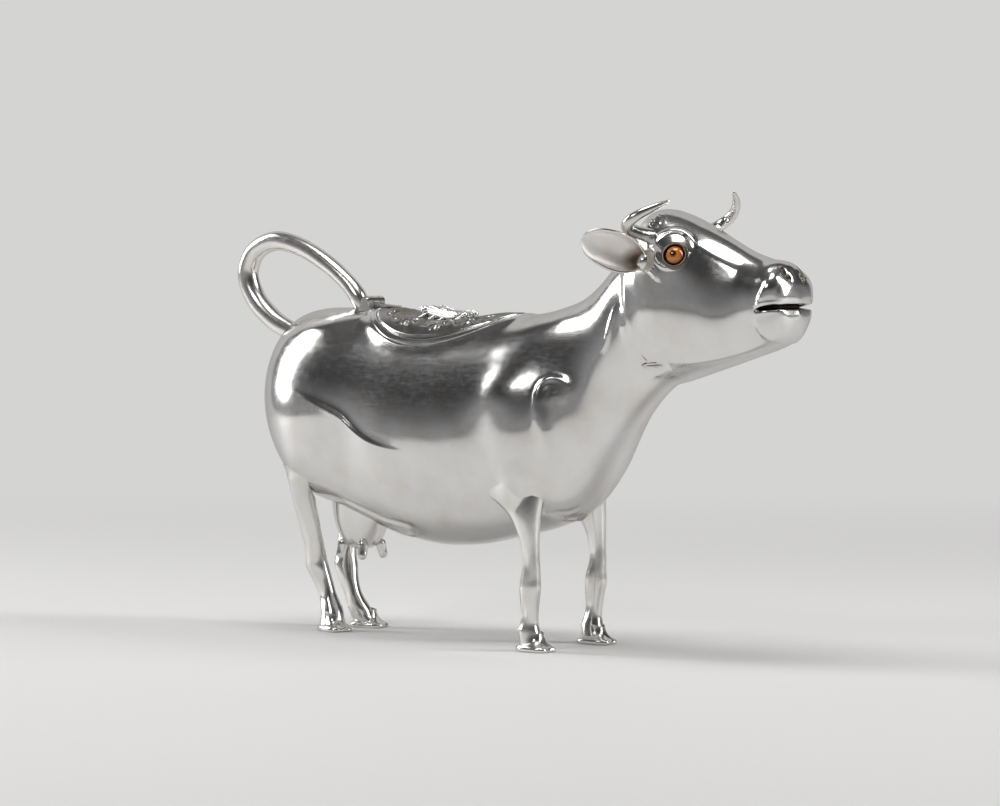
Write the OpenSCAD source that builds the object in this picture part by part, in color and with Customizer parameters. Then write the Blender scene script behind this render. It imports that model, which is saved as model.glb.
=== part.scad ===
// Cow creamer: a standing cow raised in sheet silver as two mirrored half shells.
// It fills through a hinged lid in the back and pours through the open mouth,
// and the tail curls forward on to the back as the handle.
// Millimetres, +Z up, the head towards +X and the cow's right side towards -Y.

/* [Trunk] */
// Length along the back, from the rump to the neck seam
trunk_l = 93.6; // [86:0.2:100]
// Greatest width of the barrel
trunk_w = 32.6; // [30:0.2:36]
// Height of the back above the ground
back_h = 65.8; // [62:0.2:70]
// Height of the belly above the ground
belly_h = 18.8; // [17:0.2:21]
// Thickness of the sheet
wall = 0.9; // [0.7:0.05:1.1]

/* [Head] */
// Length from the neck seam to the nose
head_l = 37.8; // [35:0.2:41]
// Height from the throat to the poll
head_h = 33.8; // [31:0.2:36]
// Width across the forehead
head_w = 19.4; // [18:0.2:21]
// Height of the slit of the mouth
slit_h = 1; // [0.7:0.1:1.3]
// Diameter of a glass eye
eye_d = 3.9; // [3.4:0.1:4.2]
// Length of an ear beyond the head
ear_l = 13; // [10:0.5:15]
// Width of an ear
ear_w = 7.6; // [6:0.2:9]
// Thickness of a horn at its root
horn_d = 2.6; // [2:0.1:3.2]
// How far the horns reach out from the middle
horn_reach = 15.6; // [14.4:0.2:17]

/* [Legs] */
// Thickness of a leg below the knee
leg_d = 3.6; // [3:0.1:4.2]
// Length of a hoof
hoof_l = 8.6; // [7.6:0.2:9.4]
// Height of a hoof
hoof_h = 2.2; // [1.8:0.1:2.6]

/* [Tail] */
// Height of the tail's loop above the back
loop_h = 14.2; // [12.4:0.2:17]
// How far the loop reaches behind the rump
loop_back = 10.8; // [8.8:0.2:13]
// Thickness of the tail
tail_d = 4.3; // [3.6:0.1:5]

/* [Lid] */
// Length of the filling hole
hole_l = 39; // [35:0.5:42]
// Width of the filling hole
hole_w = 20.4; // [17:0.2:22]
// Width of the rim round the hole
rim_w = 1; // [0.8:0.05:1.2]
// How far the rim stands above the back
rim_proud = 0.4; // [0.3:0.05:0.6]
// Width of the ledge that the lid rests on
ledge_w = 0.9; // [0.7:0.05:1.2]
// Thickness of the lid
lid_t = 0.9; // [0.7:0.05:1]
// Gap between the lid and its rim
lid_gap = 0.15; // [0.1:0.05:0.2]
// Depth of the flange under the lid
flange_h = 1.6; // [1.2:0.1:2.2]
// Length of the fly on the lid
fly_l = 14.6; // [11:0.2:16]

/* [Hinge] */
// Diameter of the hinge barrel
barrel_d = 2.2; // [2:0.1:2.4]
// Length of the hinge barrel
barrel_l = 4.8; // [4.4:0.2:5.6]
// Diameter of the hinge pin
pin_d = 1; // [0.8:0.05:1.1]
// Clearance of the pin in the knuckle that turns on it
pin_gap = 0.04; // [0.02:0.01:0.08]
// Gap between knuckles
knuckle_gap = 0.12; // [0.1:0.02:0.2]

/* [Hidden] */
silver = [0.82, 0.81, 0.79];
amber = [0.85, 0.5, 0.1];

// Overrun of every cut past the surface that it opens
over = 0.5;

// Rows of the trunk, from the rump to the neck seam. Shares of the trunk's
// length and barrel height for the top and the bottom of a section, a share of
// its half width, the fullness of its upper and lower half, and where along its
// height it is widest.
barrel_h = back_h - belly_h;
trunk_shares = [
    [0.000, 0.670, 0.000, 0.660, 0.020, 2.0, 2.0, 0.50],
    [0.008, 0.775, 0.009, 0.540, 0.340, 2.0, 2.0, 0.50],
    [0.024, 0.872, 0.032, 0.385, 0.545, 2.0, 2.0, 0.50],
    [0.061, 0.955, 0.070, 0.255, 0.720, 2.1, 2.0, 0.50],
    [0.123, 1.000, 0.134, 0.175, 0.860, 2.2, 2.0, 0.50],
    [0.214, 1.008, 0.214, 0.130, 0.957, 2.1, 2.0, 0.50],
    [0.320, 1.000, 0.320, 0.064, 0.980, 1.9, 2.0, 0.49],
    [0.449, 0.993, 0.449, 0.004, 1.000, 1.8, 2.0, 0.48],
    [0.577, 0.985, 0.572, 0.008, 0.980, 1.8, 2.0, 0.47],
    [0.684, 0.979, 0.680, 0.050, 0.920, 1.9, 2.0, 0.46],
    [0.759, 0.991, 0.780, 0.097, 0.835, 2.0, 2.0, 0.46],
    [0.818, 1.018, 0.863, 0.170, 0.720, 2.0, 2.0, 0.46],
    [0.866, 1.052, 0.919, 0.287, 0.632, 2.0, 2.0, 0.47],
    [0.907, 1.106, 0.957, 0.419, 0.577, 2.0, 2.0, 0.48],
    [0.947, 1.180, 1.009, 0.565, 0.548, 2.0, 2.0, 0.50],
    [1.000, 1.300, 1.078, 0.690, 0.528, 2.0, 2.0, 0.50]];
// Rows of the head beyond the seam, as shares of its own sizes
head_shares = [
    [0.065, 0.950, 0.300, 0.035, 0.960, 2.1, 2.0, 0.50],
    [0.155, 1.000, 0.380, 0.062, 1.000, 2.2, 2.1, 0.50],
    [0.275, 0.980, 0.475, 0.095, 0.990, 2.2, 2.2, 0.50],
    [0.420, 0.912, 0.567, 0.125, 0.900, 2.2, 2.2, 0.50],
    [0.553, 0.838, 0.660, 0.157, 0.785, 2.1, 2.2, 0.48],
    [0.685, 0.766, 0.749, 0.187, 0.712, 2.1, 2.1, 0.48],
    [0.800, 0.722, 0.826, 0.214, 0.712, 2.1, 2.1, 0.48],
    [0.882, 0.690, 0.887, 0.244, 0.700, 2.2, 2.2, 0.48],
    [0.938, 0.640, 0.930, 0.284, 0.620, 2.2, 2.2, 0.50],
    [0.969, 0.580, 0.963, 0.345, 0.450, 2.1, 2.1, 0.50],
    [0.980, 0.500, 0.980, 0.415, 0.060, 2.0, 2.0, 0.50]];
// Swellings and hollows of the trunk: place along the trunk and up the barrel,
// reach each way in the same shares, and height as a share of the half width
trunk_swells = [
    [0.135, 0.500, 0.100, 0.240, 0.070],
    [0.135, 0.260, 0.055, 0.130, 0.110],
    [0.330, 0.430, 0.070, 0.220, -0.050],
    [0.800, 0.520, 0.080, 0.240, 0.080],
    [0.790, 0.240, 0.045, 0.120, 0.160],
    [0.690, 0.420, 0.045, 0.230, -0.045]];
// The same for the head: brow, cheek, the hollow before the eye, the muzzle
head_swells = [
    [0.380, 0.770, 0.120, 0.140, 0.130],
    [0.300, 0.330, 0.160, 0.200, 0.060],
    [0.620, 0.560, 0.120, 0.200, -0.050],
    [0.890, 0.600, 0.090, 0.120, 0.050]];

function size_row(r, at, size) = [at[0] + r[0] * size[0], at[1] + r[1] * size[1],
    at[0] + r[2] * size[0], at[1] + r[3] * size[1], r[4] * size[2], r[5], r[6], r[7]];
function size_swell(s, at, size) = [at[0] + s[0] * size[0], at[1] + s[1] * size[1],
    s[2] * size[0], s[3] * size[1], s[4] * size[2]];
trunk_size = [trunk_l, barrel_h, trunk_w / 2];
trunk = [for (r = trunk_shares) size_row(r, [0, belly_h], trunk_size)];
swells = [for (s = trunk_swells) size_swell(s, [0, belly_h], trunk_size)];
seam = trunk[len(trunk) - 1];
head_at = [seam[0], seam[3]];
head_size = [head_l, head_h, head_w / 2];
head = concat([seam], [for (r = head_shares) size_row(r, head_at, head_size)]);
face_swells = [for (s = head_swells) size_swell(s, head_at, head_size)];

// A smooth curve through the rows of a table, read at x in their first column
function span(rows, x, i = 0) = i >= len(rows) - 2 || x < rows[i + 1][0] ? i : span(rows, x, i + 1);
function slope(rows, i) = let (a = rows[max(i - 1, 0)], b = rows[min(i + 1, len(rows) - 1)])
    (b - a) / (b[0] - a[0]);
function row_at(rows, x) = let (
    i = span(rows, x),
    h = rows[i + 1][0] - rows[i][0],
    t = (x - rows[i][0]) / h)
    rows[i] * (2 * t ^ 3 - 3 * t ^ 2 + 1) + slope(rows, i) * (h * (t ^ 3 - 2 * t ^ 2 + t))
    + rows[i + 1] * (3 * t ^ 2 - 2 * t ^ 3) + slope(rows, i + 1) * (h * (t ^ 3 - t ^ 2));

function signed(v, e) = sign(v) * pow(abs(v), e);
function total(v, i = 0) = i >= len(v) ? 0 : v[i] + total(v, i + 1);
function unit(v) = v / norm(v);

// Point of a section on the right-hand side, a degrees down from its top
function section(row, a, bumps) = let (
    upper = cos(a) > 0,
    power = 2 / (upper ? row[5] : row[6]),
    top = [row[0], 0, row[1]],
    low = [row[2], 0, row[3]],
    mid = low + (top - low) * row[7],
    p = mid + (upper ? top - mid : low - mid) * signed(abs(cos(a)), power),
    side = signed(sin(a), power),
    swell = total([for (b = bumps) b[4] * exp(-((p[0] - b[0]) / b[2]) ^ 2 - ((p[2] - b[1]) / b[3]) ^ 2)]))
    [p[0], -side * (row[4] + swell), p[2]];
function skin(rows, x, a, bumps) = section(row_at(rows, x), a, bumps);
// Outward normal of the skin
function outward(rows, x, a, bumps) = let (
    last = rows[len(rows) - 1][0],
    step = (last - rows[0][0]) / 2000,
    x0 = max(x - step, rows[0][0]),
    x1 = min(x + step, last),
    along = skin(rows, x1, a, bumps) - skin(rows, x0, a, bumps),
    across = skin(rows, x, a + 1, bumps) - skin(rows, x, a - 1, bumps))
    unit(cross(across, along));
// Inner skin point. At the two ends of a shell it stays in the end's own plane.
function lining(rows, x, a, bumps, flat) = let (
    p = skin(rows, x, a, bumps),
    n = outward(rows, x, a, bumps),
    row = row_at(rows, x),
    axis = unit([row[2] - row[0], 0, row[3] - row[1]]),
    square = cross(axis, [0, 1, 0]))
    p - wall * (flat ? unit(n - square * (n * square)) : n);

// Filling hole: an oval on the back, with its edge worked out from its length and width
hole_x_share = 0.495;
hole_x = trunk_l * hole_x_share;
// It is a little wider towards the rear
egg_share = 0.16;
function edge_y(x) = let (u = (x - hole_x) / (hole_l / 2))
    hole_w / 2 * sqrt(max(0, 1 - u ^ 2)) * (1 - egg_share * u);
function angle_of(row, y) = asin(min(1, pow(y / row[4], row[5] / 2)));
function edge_angle(x) = angle_of(row_at(trunk, x), edge_y(x));

// Where the sections stand
around = 13;
hole_steps = 12;
rump_steps = 8;
neck_steps = 8;
hole_start = hole_x - hole_l / 2;
hole_end = hole_x + hole_l / 2;
trunk_xs = concat(
    [for (i = [0 : rump_steps - 1]) hole_start * (i / rump_steps) ^ 2.2],
    [for (i = [0 : hole_steps]) hole_x - hole_l / 2 * cos(180 * i / hole_steps)],
    [for (i = [1 : neck_steps]) hole_end + (trunk_l - hole_end) * i / neck_steps]);
head_steps = 18;
head_end = head[len(head) - 1][0];
head_xs = [for (i = [0 : head_steps]) seam[0] + (head_end - seam[0]) * sin(90 * i / head_steps)];

function trunk_start(x) = x > hole_start && x < hole_end ? edge_angle(x) : 0;
function outer_row(rows, x, a0, bumps) =
    [for (j = [0 : around]) skin(rows, x, a0 + (180 - a0) * j / around, bumps)];
function inner_row(rows, x, a0, bumps, flat) =
    [for (j = [0 : around]) lining(rows, x, a0 + (180 - a0) * j / around, bumps, flat)];

trunk_outer = [for (x = trunk_xs) outer_row(trunk, x, trunk_start(x), swells)];
trunk_inner = [for (x = trunk_xs) inner_row(trunk, x, trunk_start(x), swells, x == trunk_l)];
head_outer = [for (x = head_xs) outer_row(head, x, 0, face_swells)];
head_inner = [for (x = head_xs) inner_row(head, x, 0, face_swells, x == head_xs[0])];

function reversed(v) = [for (i = [len(v) - 1 : -1 : 0]) v[i]];
function flat_list(v) = [for (a = v, b = a) b];
// Side faces of a stack of equal closed rings
function wall_faces(rings, n) = [for (i = [0 : rings - 2], j = [0 : n - 1], k = [0, 1])
    let (a = i * n + j, b = i * n + (j + 1) % n) k == 0 ? [a, b + n, b] : [a, a + n, b + n]];

// Closed skin over rings with equally many corners
module loft(rings) {
    m = len(rings);
    n = len(rings[0]);
    polyhedron(points = flat_list(rings), faces = concat(wall_faces(m, n),
        [[for (j = [0 : n - 1]) j], [for (j = [n - 1 : -1 : 0]) (m - 1) * n + j]]));
}
// Half shell between an outer and an inner skin. The blunt end is closed and
// the other end shows the thickness of the sheet.
module half_shell(outer, inner, blunt_first) {
    n = len(outer[0]);
    m = len(outer);
    rings = [for (i = [0 : m - 1]) concat(outer[i], reversed(inner[i]))];
    blunt = blunt_first ? 0 : (m - 1) * 2 * n;
    open = blunt_first ? (m - 1) * 2 * n : 0;
    caps = [
        [for (j = [0 : n - 1]) blunt + j],
        [for (j = [0 : n - 1]) blunt + n + j],
        [blunt, blunt + n - 1, blunt + n, blunt + 2 * n - 1]];
    ends = [for (j = [0 : n - 2]) [open + j, open + j + 1, open + 2 * n - 2 - j, open + 2 * n - 1 - j]];
    polyhedron(
        points = flat_list(rings),
        faces = concat(
            wall_faces(m, 2 * n),
            blunt_first ? caps : [for (f = caps) reversed(f)],
            blunt_first ? [for (f = ends) reversed(f)] : ends));
}

// Solid filling of a right-hand half, by which soldered pieces are cut to their seat
core_share = 0.06;
module half_core(outer) {
    n = len(outer[0]);
    loft([for (row = outer) let (p = row[0] * (1 - core_share) + row[n - 1] * core_share)
        concat([[p[0], 0, p[2]]], row)]);
}
module trunk_core() {
    half_core(trunk_outer);
    mirror([0, 1, 0]) half_core(trunk_outer);
}
module head_core() {
    half_core(head_outer);
    mirror([0, 1, 0]) half_core(head_outer);
}

// Closed ring of n points round a place, and a run of hulls through such rings
function ring(at, u, v, n) = [for (k = [0 : n - 1]) at + cos(360 * k / n) * u + sin(360 * k / n) * v];
module chain(rings) {
    n = len(rings[0]);
    for (i = [0 : len(rings) - 2])
        hull() polyhedron(points = concat(rings[i], rings[i + 1]),
            faces = [[for (k = [0 : n - 1]) k], [for (k = [0 : n - 1]) n + k]]);
}
// Smooth path through rows of a place and a radius
function between(v, i, t) = let (
    a = v[max(i - 1, 0)], b = v[i], c = v[i + 1], d = v[min(i + 2, len(v) - 1)])
    (2 * b + (c - a) * t + (2 * a - 5 * b + 4 * c - d) * t ^ 2 + (3 * b - a - 3 * c + d) * t ^ 3) / 2;
function smooth(v, steps) = concat(
    [for (i = [0 : len(v) - 2], k = [0 : steps - 1]) between(v, i, k / steps)], [v[len(v) - 1]]);
// Rings of a tube along such a path, kept square to it
function place(r) = [r[0], r[1], r[2]];
function tube_rings(v, ref, n) = [for (i = [0 : len(v) - 1]) let (
    t = unit(place(v[min(i + 1, len(v) - 1)]) - place(v[max(i - 1, 0)])),
    u = unit(cross(t, ref)))
    ring(place(v[i]), u * v[i][3], cross(t, u) * v[i][3], n)];

// Rings of a leg: height as a share of the belly's, place along and out from
// the middle as shares of the trunk's length and half width, and half length
// and half width of the section as shares of the leg's thickness
fore_shares = [
    [1.755, 0.783, 0.510, 1.17, 0.72], [1.570, 0.786, 0.577, 0.94, 0.64],
    [1.410, 0.790, 0.613, 0.75, 0.58], [1.220, 0.794, 0.632, 0.60, 0.50],
    [1.040, 0.798, 0.635, 0.50, 0.42], [0.880, 0.800, 0.632, 0.48, 0.42],
    [0.745, 0.797, 0.626, 0.58, 0.48], [0.640, 0.796, 0.626, 0.64, 0.52],
    [0.530, 0.794, 0.620, 0.56, 0.47], [0.400, 0.793, 0.613, 0.48, 0.42],
    [0.290, 0.791, 0.607, 0.50, 0.45], [0.213, 0.790, 0.600, 0.61, 0.53],
    [0.138, 0.793, 0.590, 0.64, 0.58], [0.070, 0.799, 0.583, 0.78, 0.62]];
hind_shares = [
    [1.810, 0.134, 0.490, 1.50, 0.90], [1.650, 0.132, 0.510, 1.12, 0.76],
    [1.460, 0.128, 0.478, 0.78, 0.64], [1.200, 0.131, 0.386, 0.66, 0.53],
    [1.040, 0.133, 0.340, 0.62, 0.50], [0.880, 0.136, 0.300, 0.61, 0.49],
    [0.760, 0.137, 0.276, 0.66, 0.52], [0.670, 0.139, 0.264, 0.72, 0.55],
    [0.530, 0.150, 0.240, 0.61, 0.50], [0.380, 0.163, 0.233, 0.55, 0.47],
    [0.235, 0.178, 0.252, 0.66, 0.58], [0.138, 0.185, 0.282, 0.69, 0.61],
    [0.070, 0.192, 0.319, 0.80, 0.64]];
function leg_place(s) = [s[1] * trunk_l, -s[2] * trunk_w / 2, s[0] * belly_h];
function leg_rings(shares) = [for (s = shares)
    ring(leg_place(s), [s[3] * leg_d, 0, 0], [0, s[4] * leg_d, 0], 10)];

// One of the two toes of a cloven hoof, its middle line along +X
toe_shares = [
    [-0.27, 0.13, 0.165, 0.90], [0.12, 0.17, 0.155, 0.85], [0.40, 0.20, 0.110, 0.45]];
module toe() {
    for (k = [0, 1]) hull() for (s = [toe_shares[k], toe_shares[k + 1]])
        translate([s[0] * hoof_l, s[1] * hoof_l, 0])
            cylinder(r = s[2] * hoof_l, h = s[3] * hoof_h, $fn = 8);
}
dew_share = 0.2;
// A cast leg with its cloven hoof turned out by an angle, cut to its seat on the trunk
module leg(shares, turn) {
    foot = leg_place(shares[len(shares) - 1]);
    dew = leg_place(shares[len(shares) - 3]);
    color(silver) difference() {
        union() {
            chain(leg_rings(shares));
            translate([foot[0], foot[1], 0]) rotate([0, 0, -turn]) {
                toe();
                mirror([0, 1, 0]) toe();
            }
            for (s = [-1, 1]) translate(dew) rotate([0, 0, -turn])
                translate([-leg_d * 0.52, s * leg_d * 0.28, 0]) sphere(r = leg_d * dew_share, $fn = 6);
        }
        trunk_core();
    }
}
fore_turn = 3;
hind_turn = 16;
module right_fore_leg() { leg(fore_shares, fore_turn); }
module left_fore_leg() { mirror([0, 1, 0]) leg(fore_shares, fore_turn); }
module right_hind_leg() { leg(hind_shares, hind_turn); }
module left_hind_leg() { mirror([0, 1, 0]) leg(hind_shares, hind_turn); }

// Udder: a bag under the flank, with four teats
udder_l = 13; // length and
udder_w = 11; // width of the bag
udder_shares = [0.228, 1.45, 0.890];
udder_top = belly_h * udder_shares[1];
udder_low = belly_h * udder_shares[2];
teat_d = 1.7; // thickness and
teat_l = 2.6; // length of a teat
module udder_bag() {
    chain([for (k = [0 : 8]) let (a = 88 * k / 8, r = cos(a) ^ 0.8)
        ring([udder_shares[0] * trunk_l, 0, udder_top - (udder_top - udder_low) * sin(a)],
            [udder_l / 2 * r, 0, 0], [0, udder_w / 2 * r, 0], 12)]);
}
module udder() { color(silver) difference() { udder_bag(); trunk_core(); } }
module teats() {
    color(silver) difference() {
        for (i = [-1, 1], j = [-1, 1])
            translate([udder_shares[0] * trunk_l + i * udder_l / 5, j * udder_w / 4.4, udder_low])
                rotate([j * -12, i * -8, 0]) for (k = [0, 1]) hull() {
                    translate([0, 0, teat_l * (1 - k)]) cylinder(d = teat_d, h = teat_l / 4, $fn = 8);
                    translate([0, 0, -teat_l * k * 0.8])
                        cylinder(d = teat_d * 0.85, h = teat_l / 4, $fn = 8);
                }
        udder_bag();
    }
}

// Tail: behind the rump in shares of the loop's reach, forward in shares of the
// run to the tip, height in shares of the loop's, and thickness
tail_shares = [
    [0.00, 0.25, -0.40, 0.70], [0.00, 0.07, -0.32, 0.90], [0.30, 0.00, -0.17, 1.00],
    [0.72, 0.00, 0.08, 1.03], [0.965, 0.00, 0.36, 1.05], [1.00, 0.00, 0.61, 1.05],
    [0.76, 0.00, 0.875, 1.00], [0.23, 0.00, 1.00, 0.96], [0.00, 0.22, 0.895, 0.90],
    [0.00, 0.56, 0.65, 0.86], [0.00, 0.82, 0.38, 0.84], [0.00, 0.955, 0.17, 0.86],
    [0.00, 1.00, 0.02, 0.66]];
tail_sides = 10;
plate_l = 4.4; // length and
plate_w = 7.4; // width of the hinge plate
tail_run = hole_start - plate_l - tail_d * 0.24;
tail_path = smooth([for (s = tail_shares)
    [s[1] * tail_run - s[0] * loop_back, 0, back_h + s[2] * loop_h, s[3] * tail_d / 2]], 3);
module tail() {
    color(silver) difference() {
        chain(tube_rings(tail_path, [0, 1, 0], tail_sides));
        trunk_core();
    }
}

// Place on the head in shares of its length and height, and out from the middle
function on_head(x, y, z) = [head_at[0] + x * head_l, y, head_at[1] + z * head_h];

// Horns: along, out and up, and thickness
horn_shares = [
    [0.205, 0.480, 0.850, 1.00], [0.194, 0.720, 0.876, 0.96], [0.204, 0.915, 0.906, 0.90],
    [0.246, 1.000, 0.946, 0.82], [0.296, 0.960, 0.992, 0.70], [0.342, 0.830, 1.037, 0.54],
    [0.378, 0.655, 1.078, 0.24]];
horn_root_share = horn_shares[0][2];
function horn_path(rise) = smooth([for (s = horn_shares)
    concat(on_head(s[0], -s[1] * horn_reach, horn_root_share + (s[2] - horn_root_share) * rise),
        [s[3] * horn_d / 2])], 3);
module horn(rise) {
    color(silver) difference() {
        chain(tube_rings(horn_path(rise), [0, 0, 1], 8));
        head_core();
    }
}
// The horns are bent by hand, and the right one rises less than the left
right_rise_share = 0.82;
left_rise_share = 1.1;
module right_horn() { horn(right_rise_share); }
module left_horn() { mirror([0, 1, 0]) horn(left_rise_share); }

// Ears: hollow leaves that point back, out and up, and open forward
ear_t = 0.6; // thickness of the leaf
ear_root = on_head(0.205, -head_w * 0.47, 0.705);
ear_dir = unit([-0.57, -0.75, 0.33]);
ear_face = unit(cross(cross(ear_dir, [0.76, -0.62, -0.06]), ear_dir));
ear_up = cross(ear_face, ear_dir);
// Rings of the leaf: place along the ear, half width as a share of the ear's,
// and depth as a share of that half width
ear_shares = [
    [0.03, 0.46, 0.95], [0.10, 0.66, 0.90], [0.20, 0.86, 0.80], [0.33, 0.98, 0.70], [0.47, 1.00, 0.60],
    [0.61, 0.95, 0.52], [0.74, 0.86, 0.46], [0.85, 0.71, 0.44], [0.94, 0.47, 0.46], [1.00, 0.16, 0.60]];
ear_sides = 8;
function ear_point(s, a, thin) = let (w = s[1] * ear_w / 2)
    ear_root + ear_dir * (s[0] * ear_l) + ear_up * ((w - thin) * sin(a))
    - ear_face * ((w * s[2] - thin) * cos(a));
function ear_ring(s) = let (thin = min(ear_t, s[1] * s[2] * ear_w / 6)) concat(
    [for (k = [0 : ear_sides]) ear_point(s, 180 * k / ear_sides - 90, 0)],
    [for (k = [ear_sides : -1 : 0]) ear_point(s, 180 * k / ear_sides - 90, thin)]);
// Rings of the stem that carries the leaf: place along the ear and thickness as a share of its width
stem_shares = [
    [-0.26, 0.17], [-0.20, 0.20], [-0.15, 0.22], [-0.10, 0.23], [-0.05, 0.235], [0.00, 0.235],
    [0.03, 0.22], [0.06, 0.20], [0.09, 0.16]];
module ear() {
    n = ear_sides + 1;
    m = len(ear_shares);
    end = (m - 1) * 2 * n;
    strip = [for (j = [0 : n - 2]) [j, j + 1, 2 * n - 2 - j, 2 * n - 1 - j]];
    color(silver) difference() {
        union() {
            polyhedron(
                points = flat_list([for (s = ear_shares) ear_ring(s)]),
                faces = concat(
                    wall_faces(m, 2 * n),
                    strip,
                    [for (f = strip) [for (k = [3 : -1 : 0]) end + f[k]]]));
            chain([for (s = stem_shares)
                ring(ear_root + ear_dir * (s[0] * ear_l) - ear_face * (ear_w * ear_shares[0][1] / 4),
                    ear_up * (s[1] * ear_w), ear_face * (s[1] * ear_w * 0.8), 8)]);
        }
        head_core();
    }
}
module right_ear() { ear(); }
module left_ear() { mirror([0, 1, 0]) ear(); }

// Eye: a glass bead in a turned collet that passes through the head's skin
eye_share = 0.355;
eye_angle = 62;
eye_x = head_at[0] + eye_share * head_l;
eye_at = skin(head, eye_x, eye_angle, face_swells);
eye_dir = outward(head, eye_x, eye_angle, face_swells);
collet_wall = 0.7;
collet_gap = 0.03;
collet_lip = 0.5; // how far the collet stands proud
collet_low = 2.5; // how far it reaches inside
collet_seat = 1.9; // depth of the bead's seat
collet_r = eye_d / 2 + collet_gap + collet_wall;
seat_r = eye_d * 0.36;
module at_eye() {
    translate(eye_at) rotate([0, acos(eye_dir[2]), atan2(eye_dir[1], eye_dir[0])]) children();
}
module eye_collet() {
    color(silver) at_eye() rotate_extrude($fn = 48) polygon([
        [seat_r, -collet_low], [collet_r, -collet_low], [collet_r, collet_lip - collet_wall / 2],
        [collet_r - collet_wall / 2, collet_lip], [eye_d / 2 + collet_gap, collet_lip],
        [eye_d / 2 + collet_gap, -collet_seat], [seat_r, -collet_seat]]);
}
module eye_bead() {
    color(amber) at_eye() translate([0, 0, sqrt((eye_d / 2) ^ 2 - seat_r ^ 2) - collet_seat])
        sphere(d = eye_d, $fn = 48);
}
module right_eye_collet() { eye_collet(); }
module left_eye_collet() { mirror([0, 1, 0]) eye_collet(); }
module right_eye() { eye_bead(); }
module left_eye() { mirror([0, 1, 0]) eye_bead(); }

// Shells
module right_body() { color(silver) half_shell(trunk_outer, trunk_inner, true); }
module body_right_half() { right_body(); }
module body_left_half() { mirror([0, 1, 0]) right_body(); }

// Brow: a ridge on the skin over the eye, as places from the eye along and up the skin
// and its thickness, in shares of the eye and of its own
brow_d = 1.5;
brow_shares = [
    [-1.40, 0.46, 0.30], [-1.16, 0.74, 0.66], [-0.74, 0.96, 0.95], [-0.28, 1.06, 1.00],
    [0.18, 1.04, 0.95], [0.58, 0.90, 0.75], [0.90, 0.66, 0.40]];
brow_bend = 180 / PI * eye_d / row_at(head, eye_x)[4];
module brow() {
    loft([for (s = brow_shares) let (
        x = eye_x + s[0] * eye_d,
        a = eye_angle - s[1] * brow_bend,
        p = skin(head, x, a, face_swells),
        n = outward(head, x, a, face_swells),
        d = brow_d / 2 * s[2])
        ring(p - n * (brow_d * 0.25), unit(p - eye_at) * d, n * d, 8)]);
}
// Mouth: a slit through both sides and the front of the muzzle
mouth_shares = [[0.845, 0.440], [0.88, 0.448], [0.93, 0.453], [1.10, 0.456]];
module mouth_cut() {
    for (k = [0 : 2]) hull() for (c = [mouth_shares[k], mouth_shares[k + 1]])
        translate(on_head(c[0], 0, c[1])) rotate([90, 0, 0])
            cylinder(d = slit_h, h = head_w, center = true, $fn = 12);
}
// Nostrils: slanting hollows in the sides of the muzzle
nostril_shares = [[0.907, 26], [0.926, 26], [0.945, 29]];
nostril_d = 1.5;
module nostril_cut() {
    for (k = [0, 1]) hull() for (c = [nostril_shares[k], nostril_shares[k + 1]])
        translate(skin(head, head_at[0] + c[0] * head_l, c[1], face_swells))
            sphere(d = nostril_d * (k == 0 ? 1 : 0.8), $fn = 8);
}
module right_head() {
    color(silver) difference() {
        union() {
            half_shell(head_outer, head_inner, false);
            brow();
        }
        mouth_cut();
        nostril_cut();
        at_eye() translate([0, 0, -collet_low - over])
            cylinder(r = (collet_r + collet_gap) / cos(180 / 32),
                h = collet_low + collet_lip + brow_d + over, $fn = 32);
    }
}
module head_right_half() { right_head(); }
module head_left_half() { mirror([0, 1, 0]) right_head(); }

// Back of the trunk, read in plan: the skin over a place, and its normal
function back_angle(x, y) = -sign(y) * angle_of(row_at(trunk, x), abs(y));
function back(x, y, h) = let (a = back_angle(x, y))
    skin(trunk, x, a, swells) + outward(trunk, x, a, swells) * h;
// The edge of the filling hole, and places inwards from it
function edge_plan(t) = [hole_x - hole_l / 2 * cos(t), -hole_w / 2 * sin(t) * (1 + egg_share * cos(t))];
function inwards(t) = let (d = edge_plan(t + 1) - edge_plan(t - 1)) unit([-d[1], d[0]]);
function plan(t, q) = edge_plan(t) + inwards(t) * q;
function over_hole(t, q, h) = let (p = plan(t, q)) back(p[0], p[1], h);
hole_sides = 2 * hole_steps;
function loop_ring(section, t) = [for (s = section) over_hole(t, s[0], s[1])];
// Closed band round the hole, with a section of places inwards and heights
module band(section) {
    n = len(section);
    m = hole_sides;
    polyhedron(
        points = flat_list([for (i = [0 : m - 1]) loop_ring(section, 360 * i / m)]),
        faces = [for (i = [0 : m - 1], j = [0 : n - 1], k = [0, 1])
            let (e = (i + 1) % m * n, a = i * n + j, b = i * n + (j + 1) % n, c = e + (j + 1) % n)
            k == 0 ? [a, b, c] : [a, c, e + j]]);
}

// Rim: soldered in the hole, with a raised bead and the ledge that the lid rests on
lid_proud = lid_gap; // how far the lid stands above the rim
lid_top = rim_proud + lid_proud;
lid_low = lid_top - lid_t;
ledge_top = lid_low - lid_gap;
ledge_t = 0.7;
ledge_q = rim_w + ledge_w;
seat_gap = 0.02; // between faces of one body that follow a curve
module filler_rim() {
    color(silver) band([
        [seat_gap, -wall], [seat_gap, rim_proud * 0.5], [rim_w * 0.3, rim_proud], [rim_w * 0.7, rim_proud],
        [rim_w, rim_proud * 0.5], [rim_w, ledge_top], [ledge_q, ledge_top], [ledge_q, ledge_top - ledge_t],
        [rim_w * 0.3, ledge_top - ledge_t]]);
}

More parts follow.
